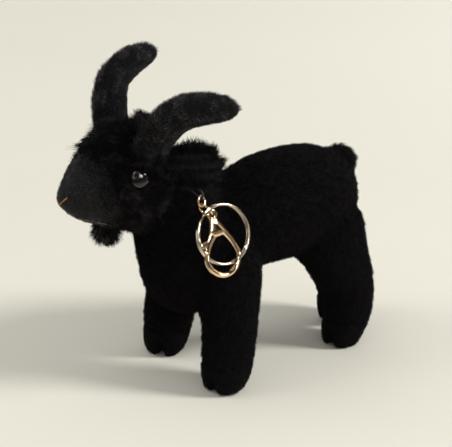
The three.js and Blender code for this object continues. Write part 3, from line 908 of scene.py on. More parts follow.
def pocket(name, form, around, rings, cap):
    """A closed skin of two strips, stuffed; material 1 marks the strip that starts at angle 0."""
    obj = mesh_object(name, *form.grid(around, rings))
    strip = [1 if k < around // 2 else 0 for k in range(around) for _ in range(rings)]
    obj.data.polygons.foreach_set("material_index", np.array(strip, np.int32))
    seam = np.zeros(len(obj.data.vertices), bool)
    seam[[0, -1]] = True
    for k in (0, around // 2):
        seam[[1 + i * around + k for i in range(rings - 1)]] = True
    outward(obj)
    stuff(obj, seam, cap)
    return obj


def strips(obj, points):
    """The two strips of a pocket at those points, first the one that starts at angle 0."""
    polygons = obj.data.polygons
    faces = [[tuple(p.vertices) for p in polygons if p.material_index == index] for index in (1, 0)]
    bpy.data.objects.remove(obj)
    return [used_only(points, own) for own in faces]


HORN_CORE = 0.94  # the horn's fabric is slimmer than the horn, by its pile
HORN_GROOVE = 0.5
HORN_GROOVE_WIDTH = 0.8


def horn(side):
    """A stuffed tube sewn from an upper and a lower strip, drawn in along both seams."""
    form = Form([(x, y, z, w * HORN_CORE, t * HORN_CORE) for x, y, z, w, t in HORNS[side]], fullness=5)
    obj = subdivided(pocket("horn_" + side, form, 28, 44, 0.6), 1)
    points = points_of(obj.data)
    seam = [form.at(a, angle) for angle in (0, math.pi) for a in np.linspace(0.98, -0.98, 160)]
    tree = tree_of(seam)
    near = np.array([tree.find(Vector(p))[2] for p in points])
    groove = HORN_GROOVE * np.exp(-((near / HORN_GROOVE_WIDTH) ** 2))
    push = bumps(points, 0.4, 6, 2) + bumps(points, 0.16, 1.5, 4) - groove
    moved = points + normals_of(obj.data) * push[:, None]
    lower, upper = strips(obj, moved)
    return {"upper": upper, "lower": lower}


horn_skins = {}
for side in HORNS:
    for half, shape in horn(side).items():
        node_name = f"horn_{half}_{side}"
        nodes = [node_name] + ([f"horn_filling_{side}"] if half == "upper" else [])
        horn_skins[node_name] = skin_panel(
            node_name + "_skin", shape, half == "lower", nodes, thick=1.0, cloth=HORN_CLOTH
        )

# ------------ ears

EAR_CORE = 0.9  # the ear's fabric is narrower than the ear, by its pile
EAR_SKIN = 0.7
EAR_CLEAR = 0.7  # the ear's skins start this far out of the head, mm
CUP = 1.6  # how far the middle of the ear is pushed back from its rim
FOLD = 0.5


def ear(side):
    """A flat pocket of pile fabric with a smooth lining, cupped, and folded along its length."""
    sign = 1 if side == "left" else -1
    form = Form([(sign * x, y, z, w * EAR_CORE, t) for x, y, z, w, t in EAR], side=(0, 0, 1), fullness=3)
    around, rings = 36, 34
    obj = pocket("ear_" + side, form, around, rings, 0.5)
    rest = points_of(obj.data)
    shift = np.zeros_like(rest)
    for i in range(1, rings):
        tall = form.ring(math.cos(math.pi * i / rings))[3]
        deep = CUP * math.sin(math.pi * i / rings)
        for k in range(around):
            across = math.cos(2 * math.pi * k / around)
            shift[1 + (i - 1) * around + k] = tall * sign * deep * (across * across - 0.45)
    set_points(obj.data, rest + shift)
    subdivided(obj, 1)
    points = points_of(obj.data)
    folds = FOLD * np.sin(points[:, 2] * 1.25 - np.abs(points[:, 0]) * 0.22)
    push = bumps(points, 0.14, 1.6, 6) + bumps(points, 0.2, 5, 1) + folds
    halves = strips(obj, points + normals_of(obj.data) * push[:, None])
    return form, dict(zip(("lining", "back") if sign > 0 else ("back", "lining"), halves))


def out_of_head(shape):
    """The part of a shape that stands clear of the head."""
    verts, faces = shape
    clear = []
    for face in faces:
        middle = Vector(np.mean([verts[i] for i in face], axis=0))
        spot, normal, _, distance = head_tree.find_nearest(middle)
        if (middle - spot).dot(normal) > 0 and distance > EAR_CLEAR:
            clear.append(face)
    return used_only(verts, clear)


head_tree = BVHTree.FromPolygons(*HEAD_FORM.grid(40, 40))
ear_forms = {}
ear_skins = {}
for side in ("left", "right"):
    ear_forms[side], halves = ear(side)
    for half in ("back", "lining"):
        node_name = f"ear_{half}_{side}"
        shape = out_of_head(halves[half])
        ear_skins[node_name] = skin_panel(
            node_name + "_skin", shape, half == "lining", [node_name], "ear_" + side, EAR_SKIN
        )

# ------------ beard

BEARD_CORE = 0.68  # the beard's backing is smaller than the whole beard by its pile
BEARD_SHORT = 0.74
BEARD_TOP = 89
beard_stations = []
for x, y, z, w, t in BEARD:
    short_z = BEARD_TOP + (z - BEARD_TOP) * BEARD_SHORT
    beard_stations.append((x, y, short_z, w * BEARD_CORE, t * BEARD_CORE))
beard = outward(mesh_object("beard_tuft_core", *Form(beard_stations, fullness=2.4).grid(32, 30)))
beard_points = points_of(beard.data)
beard_push = 0.7 * noise_at(beard_points * (1, 1, 0.45), 2.2, 9)
set_points(beard.data, beard_points + normals_of(beard.data) * beard_push[:, None])
placed(beard, PILE, "goat", ["beard_tuft"])

# ------------ eyes


def turned(profile, steps, seat, look):
    """A profile of (radius, height) spun about the line from seat along look."""
    look = unit(look)
    across = unit(np.cross(look, (0, 0, 1)))
    up = np.cross(across, look)
    verts = []
    for radius, height in profile:
        verts += ring_of(np.array(seat) + look * height, across, up, radius, steps)
    return verts, rod_faces(len(profile), steps)


def eye_profile():
    """Shank, flange with a rounded lip, then the polished dome."""
    profile = [(1.2, -5.2), (1.2, -0.9), (3.9, -0.8), (EYE_RADIUS - 0.15, -0.55), (EYE_RADIUS, -0.2)]
    for i in range(1, 15):
        angle = math.pi / 2 * i / 15
        profile.append((EYE_RADIUS * math.cos(angle), 3.4 * math.sin(angle)))
    profile.append((0.12, 3.4))
    return profile


for side, sign in (("left", 1), ("right", -1)):
    eye = outward(mesh_object(f"eye_{side}_dome", *turned(eye_profile(), 48, *eye_axis(sign))))
    placed(eye, EYE, "goat", ["eye_" + side, "eye_washer_" + side])

# ------------ wire, thread and cord


def tube(line, radius, sides):
    """A round rod along a line of points, its frame carried along without twisting."""
    line = np.array(line, float)
    ahead = unit(np.gradient(line, axis=0))
    across = unit(np.cross(ahead[0], (0.13, 0.27, 0.95)))
    verts = []
    for i, middle in enumerate(line):
        across = unit(across - ahead[i] * (across @ ahead[i]))
        verts += ring_of(middle, across, np.cross(ahead[i], across), radius, sides)
    return np.array(verts), rod_faces(len(line), sides)


PLY_RADIUS = 0.58  # of the whole thread's radius


def twisted(line, radius, plies, pitch):
    """A twisted thread: plies wound about the line."""
    line = np.array(line, float)
    ahead = unit(np.gradient(line, axis=0))
    length = np.concatenate([[0], np.cumsum(np.linalg.norm(np.diff(line, axis=0), axis=1))])
    across = unit(np.cross(ahead, (0.13, 0.27, 0.95)))
    third = np.cross(ahead, across)
    parts = []
    for ply in range(plies):
        angle = (2 * math.pi * (length / pitch + ply / plies))[:, None]
        path = line + (across * np.cos(angle) + third * np.sin(angle)) * radius * 0.5
        parts.append(tube(path, radius * PLY_RADIUS, 7))
    return stack(parts)


def on_skin(spot, lift):
    """The point of the goat's skin nearest to spot, raised by lift mm."""
    at, normal, _, _ = surface.find_nearest(Vector(to_frame(spot)))
    return from_frame(at + normal * lift * MM)


def stitch_line(spots, lift, steps):
    """A line of points laid on the muzzle through spots given as (along, angle) of the head form."""
    corners = np.array([HEAD_FORM.at(along, math.radians(angle)) for along, angle in spots])
    return [on_skin(catmull(corners, t), lift) for t in np.linspace(0, 1, steps)]


NOSE = [(-0.9973, -59), (-0.982, 13), (-0.925, 27)]
MOUTH = [(-0.988, -74), (-0.95, -68), (-0.794, -60), (-0.588, -50)]
NOSE_LIFT = 0.12
THREAD_RADIUS = 0.36
for side in ("left", "right"):
    stitches = (("nose", NOSE, COPPER, NOSE_LIFT), ("mouth", MOUTH, MOUTH_THREAD, 0))
    for kind, spots, material, lift in stitches:
        if side == "right":
            spots = [(along, 180 - angle) for along, angle in spots]
        shape = twisted(stitch_line(spots, lift, 60), THREAD_RADIUS, 2, 1.5)
        thread = outward(mesh_object(f"{kind}_thread_{side}", *shape))
        placed(thread, material, "goat", [f"{kind}_stitch_{side}"])

# ------------ gilt hardware

# In the hardware's own frame x is rearward, y is up, z is outward, and the origin is the middle of
# the clasp's eyelet.
LEAN = math.radians(18)
TURN = math.radians(6)
EYELET_AT = (29, -47.6, 92.3)
flank = Matrix.Translation(EYELET_AT) @ Matrix.Rotation(TURN, 4, "Z") @ Matrix.Rotation(-LEAN, 4, "Y")
flank = flank @ Matrix(((0, 0, 1, 0), (1, 0, 0, 0), (0, 1, 0, 0), (0, 0, 0, 1)))

JUMP_WIRE = 0.5
UPPER_JUMP = 2.4
LOWER_JUMP = 3.75
PLAY = 0.18
CORD_RADIUS = 0.55
SPLIT_RING = 13.6
SPLIT_WIRE = 0.65
SPLIT_PLATED = 1.08  # its plating and rounded edges make the wire look this much thicker
SPLIT_PITCH = 1.36
CLASP_THICK = 3.2
EYELET_THICK = 1.6
GATE_THICK = 1.6
GAP = 0.3
SPLIT_PLANE = -(SPLIT_PITCH / 2 + SPLIT_WIRE + GAP + CLASP_THICK / 2)
PULL = math.radians(-58)
RING_TO_EYELET = 3.1
pulled = np.array([math.cos(PULL), math.sin(PULL), 0])
lower_middle = -pulled * RING_TO_EYELET
lower_middle[2] = (SPLIT_PLANE - SPLIT_PITCH / 2 - SPLIT_WIRE + EYELET_THICK / 2) / 2
LINK_STEP = LOWER_JUMP - 2 * JUMP_WIRE - 3 * PLAY
upper_middle = lower_middle - pulled * LINK_STEP + (0, UPPER_JUMP, 0)
coil_aside = lower_middle[2] - (SPLIT_PLANE - SPLIT_PITCH / 2)
ring_drop = math.sqrt((LOWER_JUMP - JUMP_WIRE - SPLIT_WIRE - PLAY) ** 2 - coil_aside**2)
split_middle = lower_middle + pulled * (ring_drop + SPLIT_RING)
split_middle[2] = SPLIT_PLANE


def hung(points):
    """Points of the hardware's frame in the goat's."""
    return np.array([tuple(flank @ Vector(p)) for p in np.asarray(points, float)])


def metal(name, shape, body, node_name, material=GILT):
    verts, faces = shape
    placed(outward(mesh_object(name, hung(verts), faces)), material, body, [node_name])


def jump_ring(radius, joint_angle, turn, middle):
    """A bent wire ring whose two ends almost meet."""
    hair_gap = math.radians(2)
    angles = np.linspace(joint_angle + hair_gap, joint_angle + 2 * math.pi - hair_gap, 72)
    flat = [Vector((math.cos(a) * radius, math.sin(a) * radius, 0)) for a in angles]
    return tube([np.array(turn @ p) + middle for p in flat], JUMP_WIRE, 16)


upper_turn = Matrix.Rotation(math.radians(22), 3, "Y")
lower_turn = Matrix.Rotation(PULL + math.pi / 2, 3, "Z") @ Matrix.Rotation(math.pi / 2, 3, "Y")
upper_shape = jump_ring(UPPER_JUMP, math.radians(160), upper_turn, upper_middle)
lower_shape = jump_ring(LOWER_JUMP, math.radians(-20), lower_turn, lower_middle)
metal("upper_jump_ring_wire", upper_shape, "upper_ring", "upper_jump_ring")
metal("lower_jump_ring_wire", lower_shape, "lower_ring", "lower_jump_ring")

CROSSING = math.radians(46)
RING_END = math.radians(107)


def split_rise(angle):
    """Height of the key ring's wire: one coil, a short crossing, then the other coil."""
    turned_by = RING_END - angle
    step = min(max((turned_by - (2 * math.pi - CROSSING)) / CROSSING, 0), 1)
    return (0.5 - step * step * (3 - 2 * step)) * SPLIT_PITCH


split_line = []
for a in np.linspace(RING_END, RING_END - 4 * math.pi + 1.15 * CROSSING, 300):
    split_line.append((math.cos(a) * SPLIT_RING, math.sin(a) * SPLIT_RING, split_rise(a)))
split_shape = tube(np.array(split_line) + split_middle, SPLIT_WIRE * SPLIT_PLATED, 16)
metal("split_ring_coil", split_shape, "key_ring", "split_ring", PALE_GILT)

# The lobster clasp is cast: outlines with rounded edges and a domed cross-section.
HOOK = (1.8, -19.3)
HOOK_OUTER = 9.6
HOOK_INNER = 7.4
EYELET_RADIUS = 2.5
EYELET_HOLE = 1.3
PIVOT = (0.2, -7.0)
HEEL = 2.1
RIVET = 0.6
GATE_SWING = math.radians(26)


def arc(middle, radius, start, end, steps):
    x, y = middle
    return [(x + radius * math.cos(a), y + radius * math.sin(a)) for a in np.linspace(start, end, steps)]


def bend(start, control, end, steps=12):
    """A quadratic curve without its first point."""
    line = []
    for t in np.linspace(0, 1, steps + 1)[1:]:
        x = (1 - t) ** 2 * start[0] + 2 * t * (1 - t) * control[0] + t * t * end[0]
        y = (1 - t) ** 2 * start[1] + 2 * t * (1 - t) * control[1] + t * t * end[1]
        line.append((x, y))
    return line


def clasp_outline():
    inner_right = (HOOK[0] + HOOK_INNER, HOOK[1])
    outer_right = (HOOK[0] + HOOK_OUTER, HOOK[1])
    line = [(-1.7, -1.6), (-3.0, -7.6), (-1.2, -9.8)]
    line += bend((-1.2, -9.8), (1.6, -10.2), (3.7, -9.6))
    line += bend((3.7, -9.6), (7.2, -13.4), inner_right)
    line += arc(HOOK, HOOK_INNER, 0, -math.pi, 48)[1:]
    line += [(-5.1, -17), (-7.2, -17)]
    line += arc(HOOK, HOOK_OUTER, -math.pi, 0, 56)
    line += bend(outer_right, (10.7, -14.9), (6.5, -8.6))
    line += bend((6.5, -8.6), (4.1, -5.6), (1.9, -2.2), 6)
    return line


def gate_outline():
    line = arc(PIVOT, HEEL, math.radians(-20), math.radians(170), 20)
    line += [(-4.7, -10.8), (-8.2, -11.4)]
    line += bend((-8.2, -11.4), (-9.2, -12.7), (-8.2, -13.9), 6)
    line += [(-6, -13.8), (-6.8, -16.65), (-4.8, -16.65)]
    line += bend((-4.8, -16.65), (-3.2, -12.6), (0.9, -9.6), 10)
    return line


def plate(outline, thickness):
    """A flat plate of that outline, as an object in the hardware's frame, in millimetres."""
    count = len(outline)
    verts = [(x, y, -thickness / 2) for x, y in outline] + [(x, y, thickness / 2) for x, y in outline]
    faces = [tuple(range(count)), tuple(range(2 * count - 1, count - 1, -1))]
    faces += [(i, (i + 1) % count, count + (i + 1) % count, count + i) for i in range(count)]
    return outward(mesh_object("cast_blank", np.array(verts) / MM, faces))


def combine(obj, other, operation):
    modified(obj, "BOOLEAN", object=other, operation=operation, solver="EXACT")
    bpy.data.objects.remove(other)


CAST_REACH = 2.9  # the dome runs in this far from the outline
TUMBLING = 14


def cast(obj, outline, thickness, dome, voxel):
    """Rounds a blank as casting and tumbling do, and domes its faces; gives (vertices, faces)."""
    modified(obj, "REMESH", mode="VOXEL", voxel_size=voxel)
    points = points_of(obj.data) * MM
    rim = tree_of([(x, y, 0) for x, y in outline])
    near = np.array([rim.find(Vector((x, y, 0)))[2] for x, y, _ in points])
    rise = np.sqrt(np.clip(1 - (1 - np.minimum(near, CAST_REACH) / CAST_REACH) ** 2, 0, 1))
    points[:, 2] *= 1 - dome * (1 - rise) * np.clip(np.abs(points[:, 2]) / (thickness / 2), 0, 1)
    set_points(obj.data, points / MM)
    modified(obj, "SMOOTH", factor=0.5, iterations=TUMBLING)
    points = points_of(obj.data) * MM
    faces = [tuple(p.vertices) for p in obj.data.polygons]
    bpy.data.objects.remove(obj)
    return points, faces


def dense(outline, step=0.25):
    """The closed outline with points at most step apart."""
    line = []
    for (x1, y1), (x2, y2) in zip(outline, outline[1:] + outline[:1]):
        count = max(1, int(math.hypot(x2 - x1, y2 - y1) / step))
        line += [(x1 + (x2 - x1) * i / count, y1 + (y2 - y1) * i / count) for i in range(count)]
    return line


def turned_outline(outline, angle):
    c, s = math.cos(angle), math.sin(angle)
    px, py = PIVOT
    return [(px + (x - px) * c - (y - py) * s, py + (x - px) * s + (y - py) * c) for x, y in outline]


clasp = plate(clasp_outline(), CLASP_THICK)
combine(clasp, plate(arc((0, 0), EYELET_RADIUS, 0, 2 * math.pi, 49)[:-1], EYELET_THICK), "UNION")
combine(clasp, plate(arc((0, 0), EYELET_HOLE, 0, 2 * math.pi, 37)[:-1], 9), "DIFFERENCE")
for sign in (-1, 1):
    flat = plate([(-4, -2.8), (4, -2.8), (4, 3.2), (-4, 3.2)], 4)
    set_points(flat.data, points_of(flat.data) + np.array((0, 0, sign * (EYELET_THICK / 2 + 2))) / MM)
    combine(clasp, flat, "DIFFERENCE")
for share in (-0.12, 0, 0.25, 0.5, 0.75, 1):
    slot_blank = plate(turned_outline(gate_outline(), share * GATE_SWING), GATE_THICK + 2 * GAP)
    combine(clasp, slot_blank, "DIFFERENCE")
heel_room = plate(arc(PIVOT, HEEL + GAP, 0, 2 * math.pi, 41)[:-1], GATE_THICK + 2 * GAP)
combine(clasp, heel_room, "DIFFERENCE")
clasp_shape = cast(clasp, dense(clasp_outline()), CLASP_THICK, 0.85, 0.16)
metal("clasp_casting", clasp_shape, "clasp", "clasp_body")
gate_shape = cast(plate(gate_outline(), GATE_THICK), dense(gate_outline()), GATE_THICK, 0.6, 0.13)
metal("clasp_gate_lever", gate_shape, "gate", "clasp_gate")

# The rivet's two heads are peened into low domes.
rivet_profile = []
for height, share in ((-1.72, 0.3), (-1.66, 0.85), (-1.52, 1.25), (-1.36, 1.0), (1.36, 1.0), (1.52, 1.25)):
    rivet_profile.append((RIVET * share, height))
rivet_profile += [(RIVET * 0.85, 1.66), (RIVET * 0.3, 1.72)]
rivet_shape = turned(rivet_profile, 24, (PIVOT[0], PIVOT[1], 0), (0, 0, 1))
metal("clasp_rivet_pin", rivet_shape, "clasp", "clasp_rivet")

SPRING_TURNS = 3
SPRING_RADIUS = 0.55
spring_line = []
for t in np.linspace(0, 1, 120):
    a = t * SPRING_TURNS * 2 * math.pi
    spring_line.append((0.2 + math.cos(a) * SPRING_RADIUS, -4.41 + t * 1.17, math.sin(a) * SPRING_RADIUS))
metal("clasp_spring_coil", tube(spring_line, 0.14, 8), "clasp", "clasp_spring", STEEL)

# The black cord loop the hardware hangs from: a long ring bent round the upper jump ring.
LOOP_BEND = 1.9
LOOP_LENGTH = 11
LOOP_RISE = math.radians(32)
loop_middle = upper_middle + (0, UPPER_JUMP - JUMP_WIRE - CORD_RADIUS - PLAY + LOOP_BEND, 0)
loop_turn = Matrix.Rotation(math.pi / 2, 3, "Y") @ Matrix.Rotation(LOOP_RISE, 3, "Z")
loop_line = []
for a in np.linspace(0, 2 * math.pi, 97):
    x, y = math.cos(a) * LOOP_BEND, math.sin(a) * LOOP_BEND
    x += LOOP_LENGTH if x > 1e-6 else 0
    loop_line.append(np.array(loop_turn @ Vector((x, y, 0))) + loop_middle)
cord_shape = twisted(loop_line, CORD_RADIUS, 3, 2.4)
metal("hang_cord", cord_shape, "goat", "hang_loop", CORD)

# ------------ grow the pile


def leg_comb(points):
    return np.tile((0, 0.1, -1.0), (len(points), 1))


BACK_HIGH = 95
FLANK = 40  # over this height below the back the pile turns from backwards to down


def body_comb(points):
    """Backwards along the back, more and more downwards on the sides."""
    down = np.clip((BACK_HIGH - points[:, 2]) / FLANK, 0.1, 1)
    return np.stack([np.zeros(len(points)), 1 - 0.6 * down, -down], axis=1)


def gaps(points, line):
    """Distance from each point to each point of a line."""
    return np.linalg.norm(points[:, None, :] - line[None, :, :], axis=2)


def toward(line):
    """A comb that follows a middle line from its first station to its last."""
    line = np.array([p[:3] for p in line], float)

    def comb(points):
        at = np.clip(gaps(points, line).argmin(axis=1), 0, len(line) - 2)
        return unit(line[at + 1] - line[at])

    return comb


def off_the_rim(form):
    """A comb that stands out from an ear's middle line, in its plane, and a little towards its tip."""
    line = np.array([form.ring(a)[0] for a in np.linspace(1, -0.8, 30)])
    ahead = unit(np.gradient(line, axis=0))

    def comb(points):
        at = gaps(points, line).argmin(axis=1)
        return unit(points - line[at]) + 0.45 * ahead[at]

    return comb


RIM_FROM = 4.2  # the rim's long pile starts about this far from the ear's middle line
RIM_FADE = 2.2


def near_rim(form):
    """The outer part of an ear, all round."""
    line = np.array([form.ring(a)[0] for a in np.linspace(0.8, -0.75, 30)])

    def keep(points):
        start = RIM_FROM + RIM_FADE * dice().random(len(points))
        return gaps(points, line).min(axis=1) > start

    return keep


CHEEK_REACH = 9


def by_the_cheek(points):
    """Thins out with distance in front of the muzzle cover's edge."""
    return in_front_of_muzzle_line(points) < CHEEK_REACH * dice().random(len(points)) ** 1.3


def clear_of_eyes(points):
    """Leaves the eyes clear."""
    away = [np.linalg.norm(points - eye_axis(sign)[0], axis=1) for sign in (1, -1)]
    return np.min(away, axis=0) > EYE_RADIUS + 0.2


# Styles of pile: length in mm, lift off the skin, wander, curl.
BODY_PILE = (PILE_LENGTH, 1.0, 0.3, 0.35)
TAIL_PILE = (1.7, 1.0, 0.4, 0.4)
HOOF_PILE = (0.9, 0.9, 0.3, 0.3)
CHEEK_EDGE = (2.2, 0.45, 0.3, 0.3)
MUZZLE_PILE = (0.8, 0.55, 0.3, 0.3)
HORN_PILE = {"lower": (0.6, 0.9, 0.35, 0.3), "upper": (1.6, 0.9, 0.7, 0.3)}

body_batches = []
for panel in ("body_panel_left", "body_panel_right", "belly_gusset"):
    body_batches.append(grow(skins[panel], 4.0, body_comb, BODY_PILE, steps=4))
for leg_name in LEGS:
    body_batches.append(grow(skins["leg_" + leg_name], 4.0, leg_comb, BODY_PILE, steps=4))
body_batches.append(grow(skins["tail_cover"], 3.2, toward(TAIL), TAIL_PILE, steps=4))
for leg_name in LEGS:
    body_batches.append(grow(skins["hoof_" + leg_name], 4.0, (0, 0, -1), HOOF_PILE, steps=4))
muzzle = skins["muzzle_cover"]
body_batches.append(grow(muzzle, 6.0, (0, 0.9, -0.4), CHEEK_EDGE, by_the_cheek, 4))
hair("pile_of_body", "goat", body_batches, FUR, 0.085, 0.025)

short_batches = [grow(muzzle, 5.0, (0, 0.9, -0.3), MUZZLE_PILE, steps=4)]
horn_batches = []
for side in ("left", "right"):
    for half, style in HORN_PILE.items():
        horn_skin = horn_skins[f"horn_{half}_{side}"]
        horn_batches.append(grow(horn_skin, 5.0, toward(HORNS[side]), style, steps=4))
hair("short_pile", "goat", short_batches, SHORT_FUR, 0.07, 0.025)
hair("horn_pile", "goat", horn_batches, HORN_FUR, 0.075, 0.025)

# Long pile: a mop over the forehead that falls over the muzzle's root, and the beard.

CROWN = -78
CHEEK_HIGH = 118
CHEEK = 30
FRINGE_DEEP = 6  # the fringe grows from this far behind the muzzle line
FRINGE_HIGH = 131
CHIN = 88


def mop_comb(points):
    """Forwards, most of all in front of the crown, and a little down and to the sides."""
    ahead = np.where(points[:, 1] < CROWN, -1.0, -0.35)
    return np.stack([points[:, 0] * 0.03, ahead, np.full(len(points), -0.25)], axis=1)


def cheek_comb(points):
    """Back from the eye and down, turning under the chin."""
    down = np.clip((CHEEK_HIGH - points[:, 2]) / CHEEK, 0.15, 1.1)
    return np.stack([np.zeros(len(points)), 1 - 0.45 * down, -0.8 * down], axis=1)


def fringe(points):
    """The forehead's front edge."""
    return (in_front_of_muzzle_line(points) > -FRINGE_DEEP) & (points[:, 2] < FRINGE_HIGH)


ROOT_PILE = 12.5  # how far up each horn the head's own long pile hides it


def horn_root(side):
    """A keep for strands near the seat of that horn."""
    seat = np.array(HORNS[side][0][:3], float)

    def keep(points):
        return np.linalg.norm(points - seat, axis=1) < ROOT_PILE

    return keep


def root_comb(points):
    """Outwards over the horn's root and down."""
    return np.stack([points[:, 0] * 0.03, np.full(len(points), -0.15), np.full(len(points), -0.75)], axis=1)


def chin(points):
    """The beard below the chin."""
    return points[:, 2] < CHIN


FRINGE_COMB = (0, -1, -1.2)
MOP = (3.9, 0.7, 0.4, 0.45)
FRINGE = (4.4, 0.4, 0.22, 0.5)
BEARD_PILE = (3.8, 0.5, 0.65, 0.5)
MOP_LOCKS = (3.4, 0.6, 0.3, 0.45)
FRINGE_LOCKS = (4.0, 0.35, 0.2, 0.5)
BEARD_LOCKS = (3.6, 0.5, 0.45, 0.5)
CHEEK_PILE = (2.9, 0.5, 0.3, 0.5)
ROOT_STYLE = (3.6, 0.45, 0.4, 0.6)
EAR_PILE = (3.0, 0.35, 0.4, 0.45)
LINING_PILE = (0.9, 0.6, 0.35, 0.3)
RIM_PILE = (2.8, 0.5, 0.45, 0.4)
EAR_LOCKS = (2.6, 0.35, 0.3, 0.4)

forehead = skins["forehead_panel"]
long_batches = [
    grow(forehead, 3.6, mop_comb, MOP),
    grow(forehead, 3.4, FRINGE_COMB, FRINGE, fringe),
]
beard_hair = grow(beard, 6.0, (0, 0.35, -0.9), BEARD_PILE, chin)
hair("beard_pile", "goat", [beard_hair], HORN_FUR, 0.1, 0.02)
mop_locks = grow(forehead, 0.32, mop_comb, MOP_LOCKS)
fringe_locks = grow(forehead, 0.9, FRINGE_COMB, FRINGE_LOCKS, fringe)
beard_locks = grow(beard, 1.2, (0, 0.25, -0.9), BEARD_LOCKS, chin)
for side in ("left", "right"):
    long_batches.append(grow(skins["head_panel_" + side], 4.2, cheek_comb, CHEEK_PILE, clear_of_eyes))
    for half in ("upper", "lower"):
        root_skin = horn_skins[f"horn_{half}_{side}"]
        long_batches.append(grow(root_skin, 5.0, root_comb, ROOT_STYLE, horn_root(side)))
hair("long_pile", "goat", long_batches, HEAD_FUR, 0.1, 0.02)
locks("forehead_locks", "goat", np.vstack([mop_locks, fringe_locks]), 0.5)
locks("beard_locks", "goat", beard_locks, 0.5)

# Two stray hairs stand out from the fringe.
STRAY_ROOT = np.array((-3.0, -95.0, 123.0))
stray = []
for reach, rise in ((7.5, 1.6), (8.5, 0.4)):
    stray.append([STRAY_ROOT + (0, -reach * t, rise * t - 1.2 * t * t) for t in np.linspace(0, 1, 6)])
hair("stray_hairs", "goat", [np.array(stray)], HEAD_FUR, 0.09, 0.03)

for side, form in ear_forms.items():
    body = "ear_" + side
    outwards = off_the_rim(form)
    back_skin = ear_skins["ear_back_" + side]
    lining_skin = ear_skins["ear_lining_" + side]
    ear_hair = grow(back_skin, 6.0, outwards, EAR_PILE)
    hair(f"ear_pile_{side}", body, [ear_hair], HEAD_FUR, 0.11, 0.03)
    lining_hair = grow(lining_skin, 5.0, outwards, LINING_PILE)
    hair(f"ear_lining_pile_{side}", body, [lining_hair], HEAD_FUR, 0.075, 0.025)
    rim_hair = grow(lining_skin, 5.0, outwards, RIM_PILE, near_rim(form))
    hair(f"ear_rim_pile_{side}", body, [rim_hair], HEAD_FUR, 0.1, 0.03)
    locks(f"ear_locks_{side}", body, grow(back_skin, 0.5, outwards, EAR_LOCKS), 0.45)

# ------------ floor, light and camera

# Painted light: the floor's cream runs from a darker tone near the goat to a brighter one far away, to even
# out the lamps' fall-off
CREAM_NEAR = (0.700, 0.685, 0.608, 1)
CREAM_FAR = (0.930, 0.910, 0.815, 1)
# Painted reflection: polished pieces see the floor turn dark beyond the lit table, while the camera sees it
# pale
PAINTED_DARK_REFLECTION = (0.02, 0.018, 0.016, 1)
TABLE_END = (0.13, 0.28)  # in what polished pieces reflect, the lit table fades out between these, m


def floor():
    """A wide pale table top, painted a little brighter far away, painted light that evens out the lamps'
    fall-off, with a very faint unevenness.
    """
    bpy.ops.mesh.primitive_circle_add(vertices=96, radius=6, fill_type="NGON", location=(0, 0, -0.0002))
    obj = bpy.context.object
    obj.name = "floor"
    material, tree, base = shader("paper_floor")
    spot = {0: node(tree, "TexCoord", "Object")}
    away = node(tree, "VectorMath", "Value", spot, operation="LENGTH")
    tone = mixed(tree, ranged(tree, away, (0.35, 1.6)), CREAM_NEAR, CREAM_FAR)
    unevenness = cloud(tree, 3, 4)
    grain = ramp(tree, unevenness, (0.3, 0.7), (0.985, 0.985, 0.985), (1, 1, 1))
    paper = mixed(tree, 1, tone, grain, "MULTIPLY")
    # painted reflection: for glossy rays only, the floor is painted dark beyond TABLE_END
    edge = ranged(tree, away, TABLE_END, (0, 0.93))
    dim = times(tree, edge, node(tree, "LightPath", "Is Glossy Ray"))
    colour = mixed(tree, dim, paper, PAINTED_DARK_REFLECTION)
    fill(tree, base, {"Base Color": colour, "Roughness": 0.75, "Specular IOR Level": 0.2})
    bumped(tree, base, unevenness, 0.0002)
    obj.data.materials.append(material)


floor()

TARGET = Vector(to_frame((5, -27, 77)))
AZIMUTH = math.radians(61)
ELEVATION = math.radians(20)
DISTANCE = 0.460
LENS = 75.7
back = Vector(
    (math.sin(AZIMUTH) * math.cos(ELEVATION), -math.cos(AZIMUTH) * math.cos(ELEVATION), math.sin(ELEVATION))
)
image_right = Vector((math.cos(AZIMUTH), math.sin(AZIMUTH), 0))


def aimed(name, data, place):
    """A camera or a lamp at place that looks at the target."""
    obj = bpy.data.objects.new(name, data)
    obj.location = place
    obj.rotation_mode = "QUATERNION"
    obj.rotation_quaternion = (TARGET - place).to_track_quat("-Z", "Y")
    scene.collection.objects.link(obj)
    return obj


camera_data = bpy.data.cameras.new("camera")
camera_data.lens = LENS
camera_data.sensor_width = 36
camera_data.clip_start = 0.01
camera_data.clip_end = 50
scene.camera = aimed("camera", camera_data, TARGET + back * DISTANCE)


def soft_box(name, place, size, power, tone):
    data = bpy.data.lights.new(name, "AREA")
    data.shape = "DISK"
    data.size = size
    data.energy = power
    data.color = tone
    return aimed(name, data, place)


flat_back = Vector((back.x, back.y, 0)).normalized()
key_place = TARGET + image_right * 2.4 + flat_back * 0.4 + Vector((0, 0, 1.5))
top_place = TARGET - image_right * 0.8 + flat_back * 0.1 + Vector((0, 0, 0.9))
KEY_LIGHT = (0.7, 76, (1, 0.985, 0.97))  # size in metres, power in watts, colour
TOP_LIGHT = (0.6, 3.2, (0.98, 0.985, 1))
soft_box("key", key_place, *KEY_LIGHT)
soft_box("top", top_place, *TOP_LIGHT)

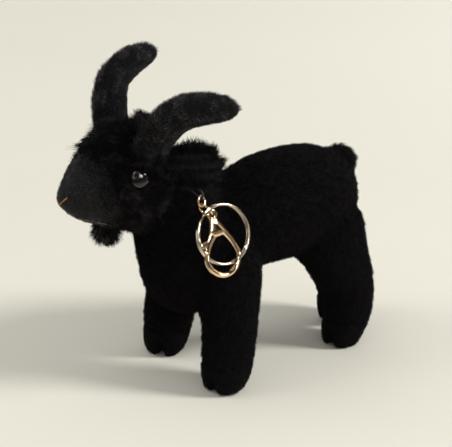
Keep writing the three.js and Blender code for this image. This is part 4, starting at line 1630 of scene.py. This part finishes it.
# A cluster of small bare lamps shows only in what is polished: bright dots on the eyes and the metal.
LAMPS_IN_RING = 5
LAMP_RINGS = ((0.22, 0), (0.10, 0.6))  # radius and turn of each ring of lamps
LAMP_SIZE = 0.02
LAMP_POWER = 0.35
lamp_middle = Vector(to_frame(EYE_SEAT)) + Vector((0.87, 0.09, 0.50)) * 0.6
for ring, (radius, turn) in enumerate(LAMP_RINGS):
    for index in range(LAMPS_IN_RING):
        angle = 2 * math.pi * index / LAMPS_IN_RING + turn
        aside = (image_right * math.cos(angle) + Vector((0, 0, 1)) * math.sin(angle)) * radius
        name = f"lamp_{ring * LAMPS_IN_RING + index}"
        lamp = soft_box(name, lamp_middle + aside, LAMP_SIZE, LAMP_POWER, (1, 1, 1))
        lamp.visible_diffuse = False

DARK_SIDE = (0.85, 0.1, 0.42)  # polished pieces that face the camera look back into the dark room


def studio_world():
    """Even light from all round; the camera sees a pale backdrop, and polished pieces see a studio
    with dark stands between its bright screens."""
    world = bpy.data.worlds.new("studio")
    scene.world = world
    world.use_nodes = True
    tree = world.node_tree
    ambient = tree.nodes["Background"]
    fill(tree, ambient, {"Color": (1.0, 0.985, 0.94, 1), "Strength": 0.62})
    backdrop = node(tree, "Background", "Background", {"Color": (0.80, 0.775, 0.69, 1)})
    where = node(tree, "TexCoord", "Generated")
    screens = ramp(tree, cloud(tree, 2.6, 1, where), (0.49, 0.55), (0.035, 0.03, 0.028), (1.0, 0.98, 0.95))
    facing = node(tree, "VectorMath", "Value", {0: where, 1: unit(DARK_SIDE)}, operation="DOT_PRODUCT")
    shade = ranged(tree, facing, (0.5, 0.78), (1.35, 0.06))
    room = node(tree, "Background", "Background", {"Color": screens, "Strength": shade})
    glossy = {"Fac": node(tree, "LightPath", "Is Glossy Ray"), 1: ambient.outputs["Background"], 2: room}
    polished = node(tree, "MixShader", "Shader", glossy)
    direct = {"Fac": node(tree, "LightPath", "Is Camera Ray"), 1: polished, 2: backdrop}
    fill(tree, tree.nodes["World Output"], {"Surface": node(tree, "MixShader", "Shader", direct)})


studio_world()
scene.view_settings.view_transform = "Standard"
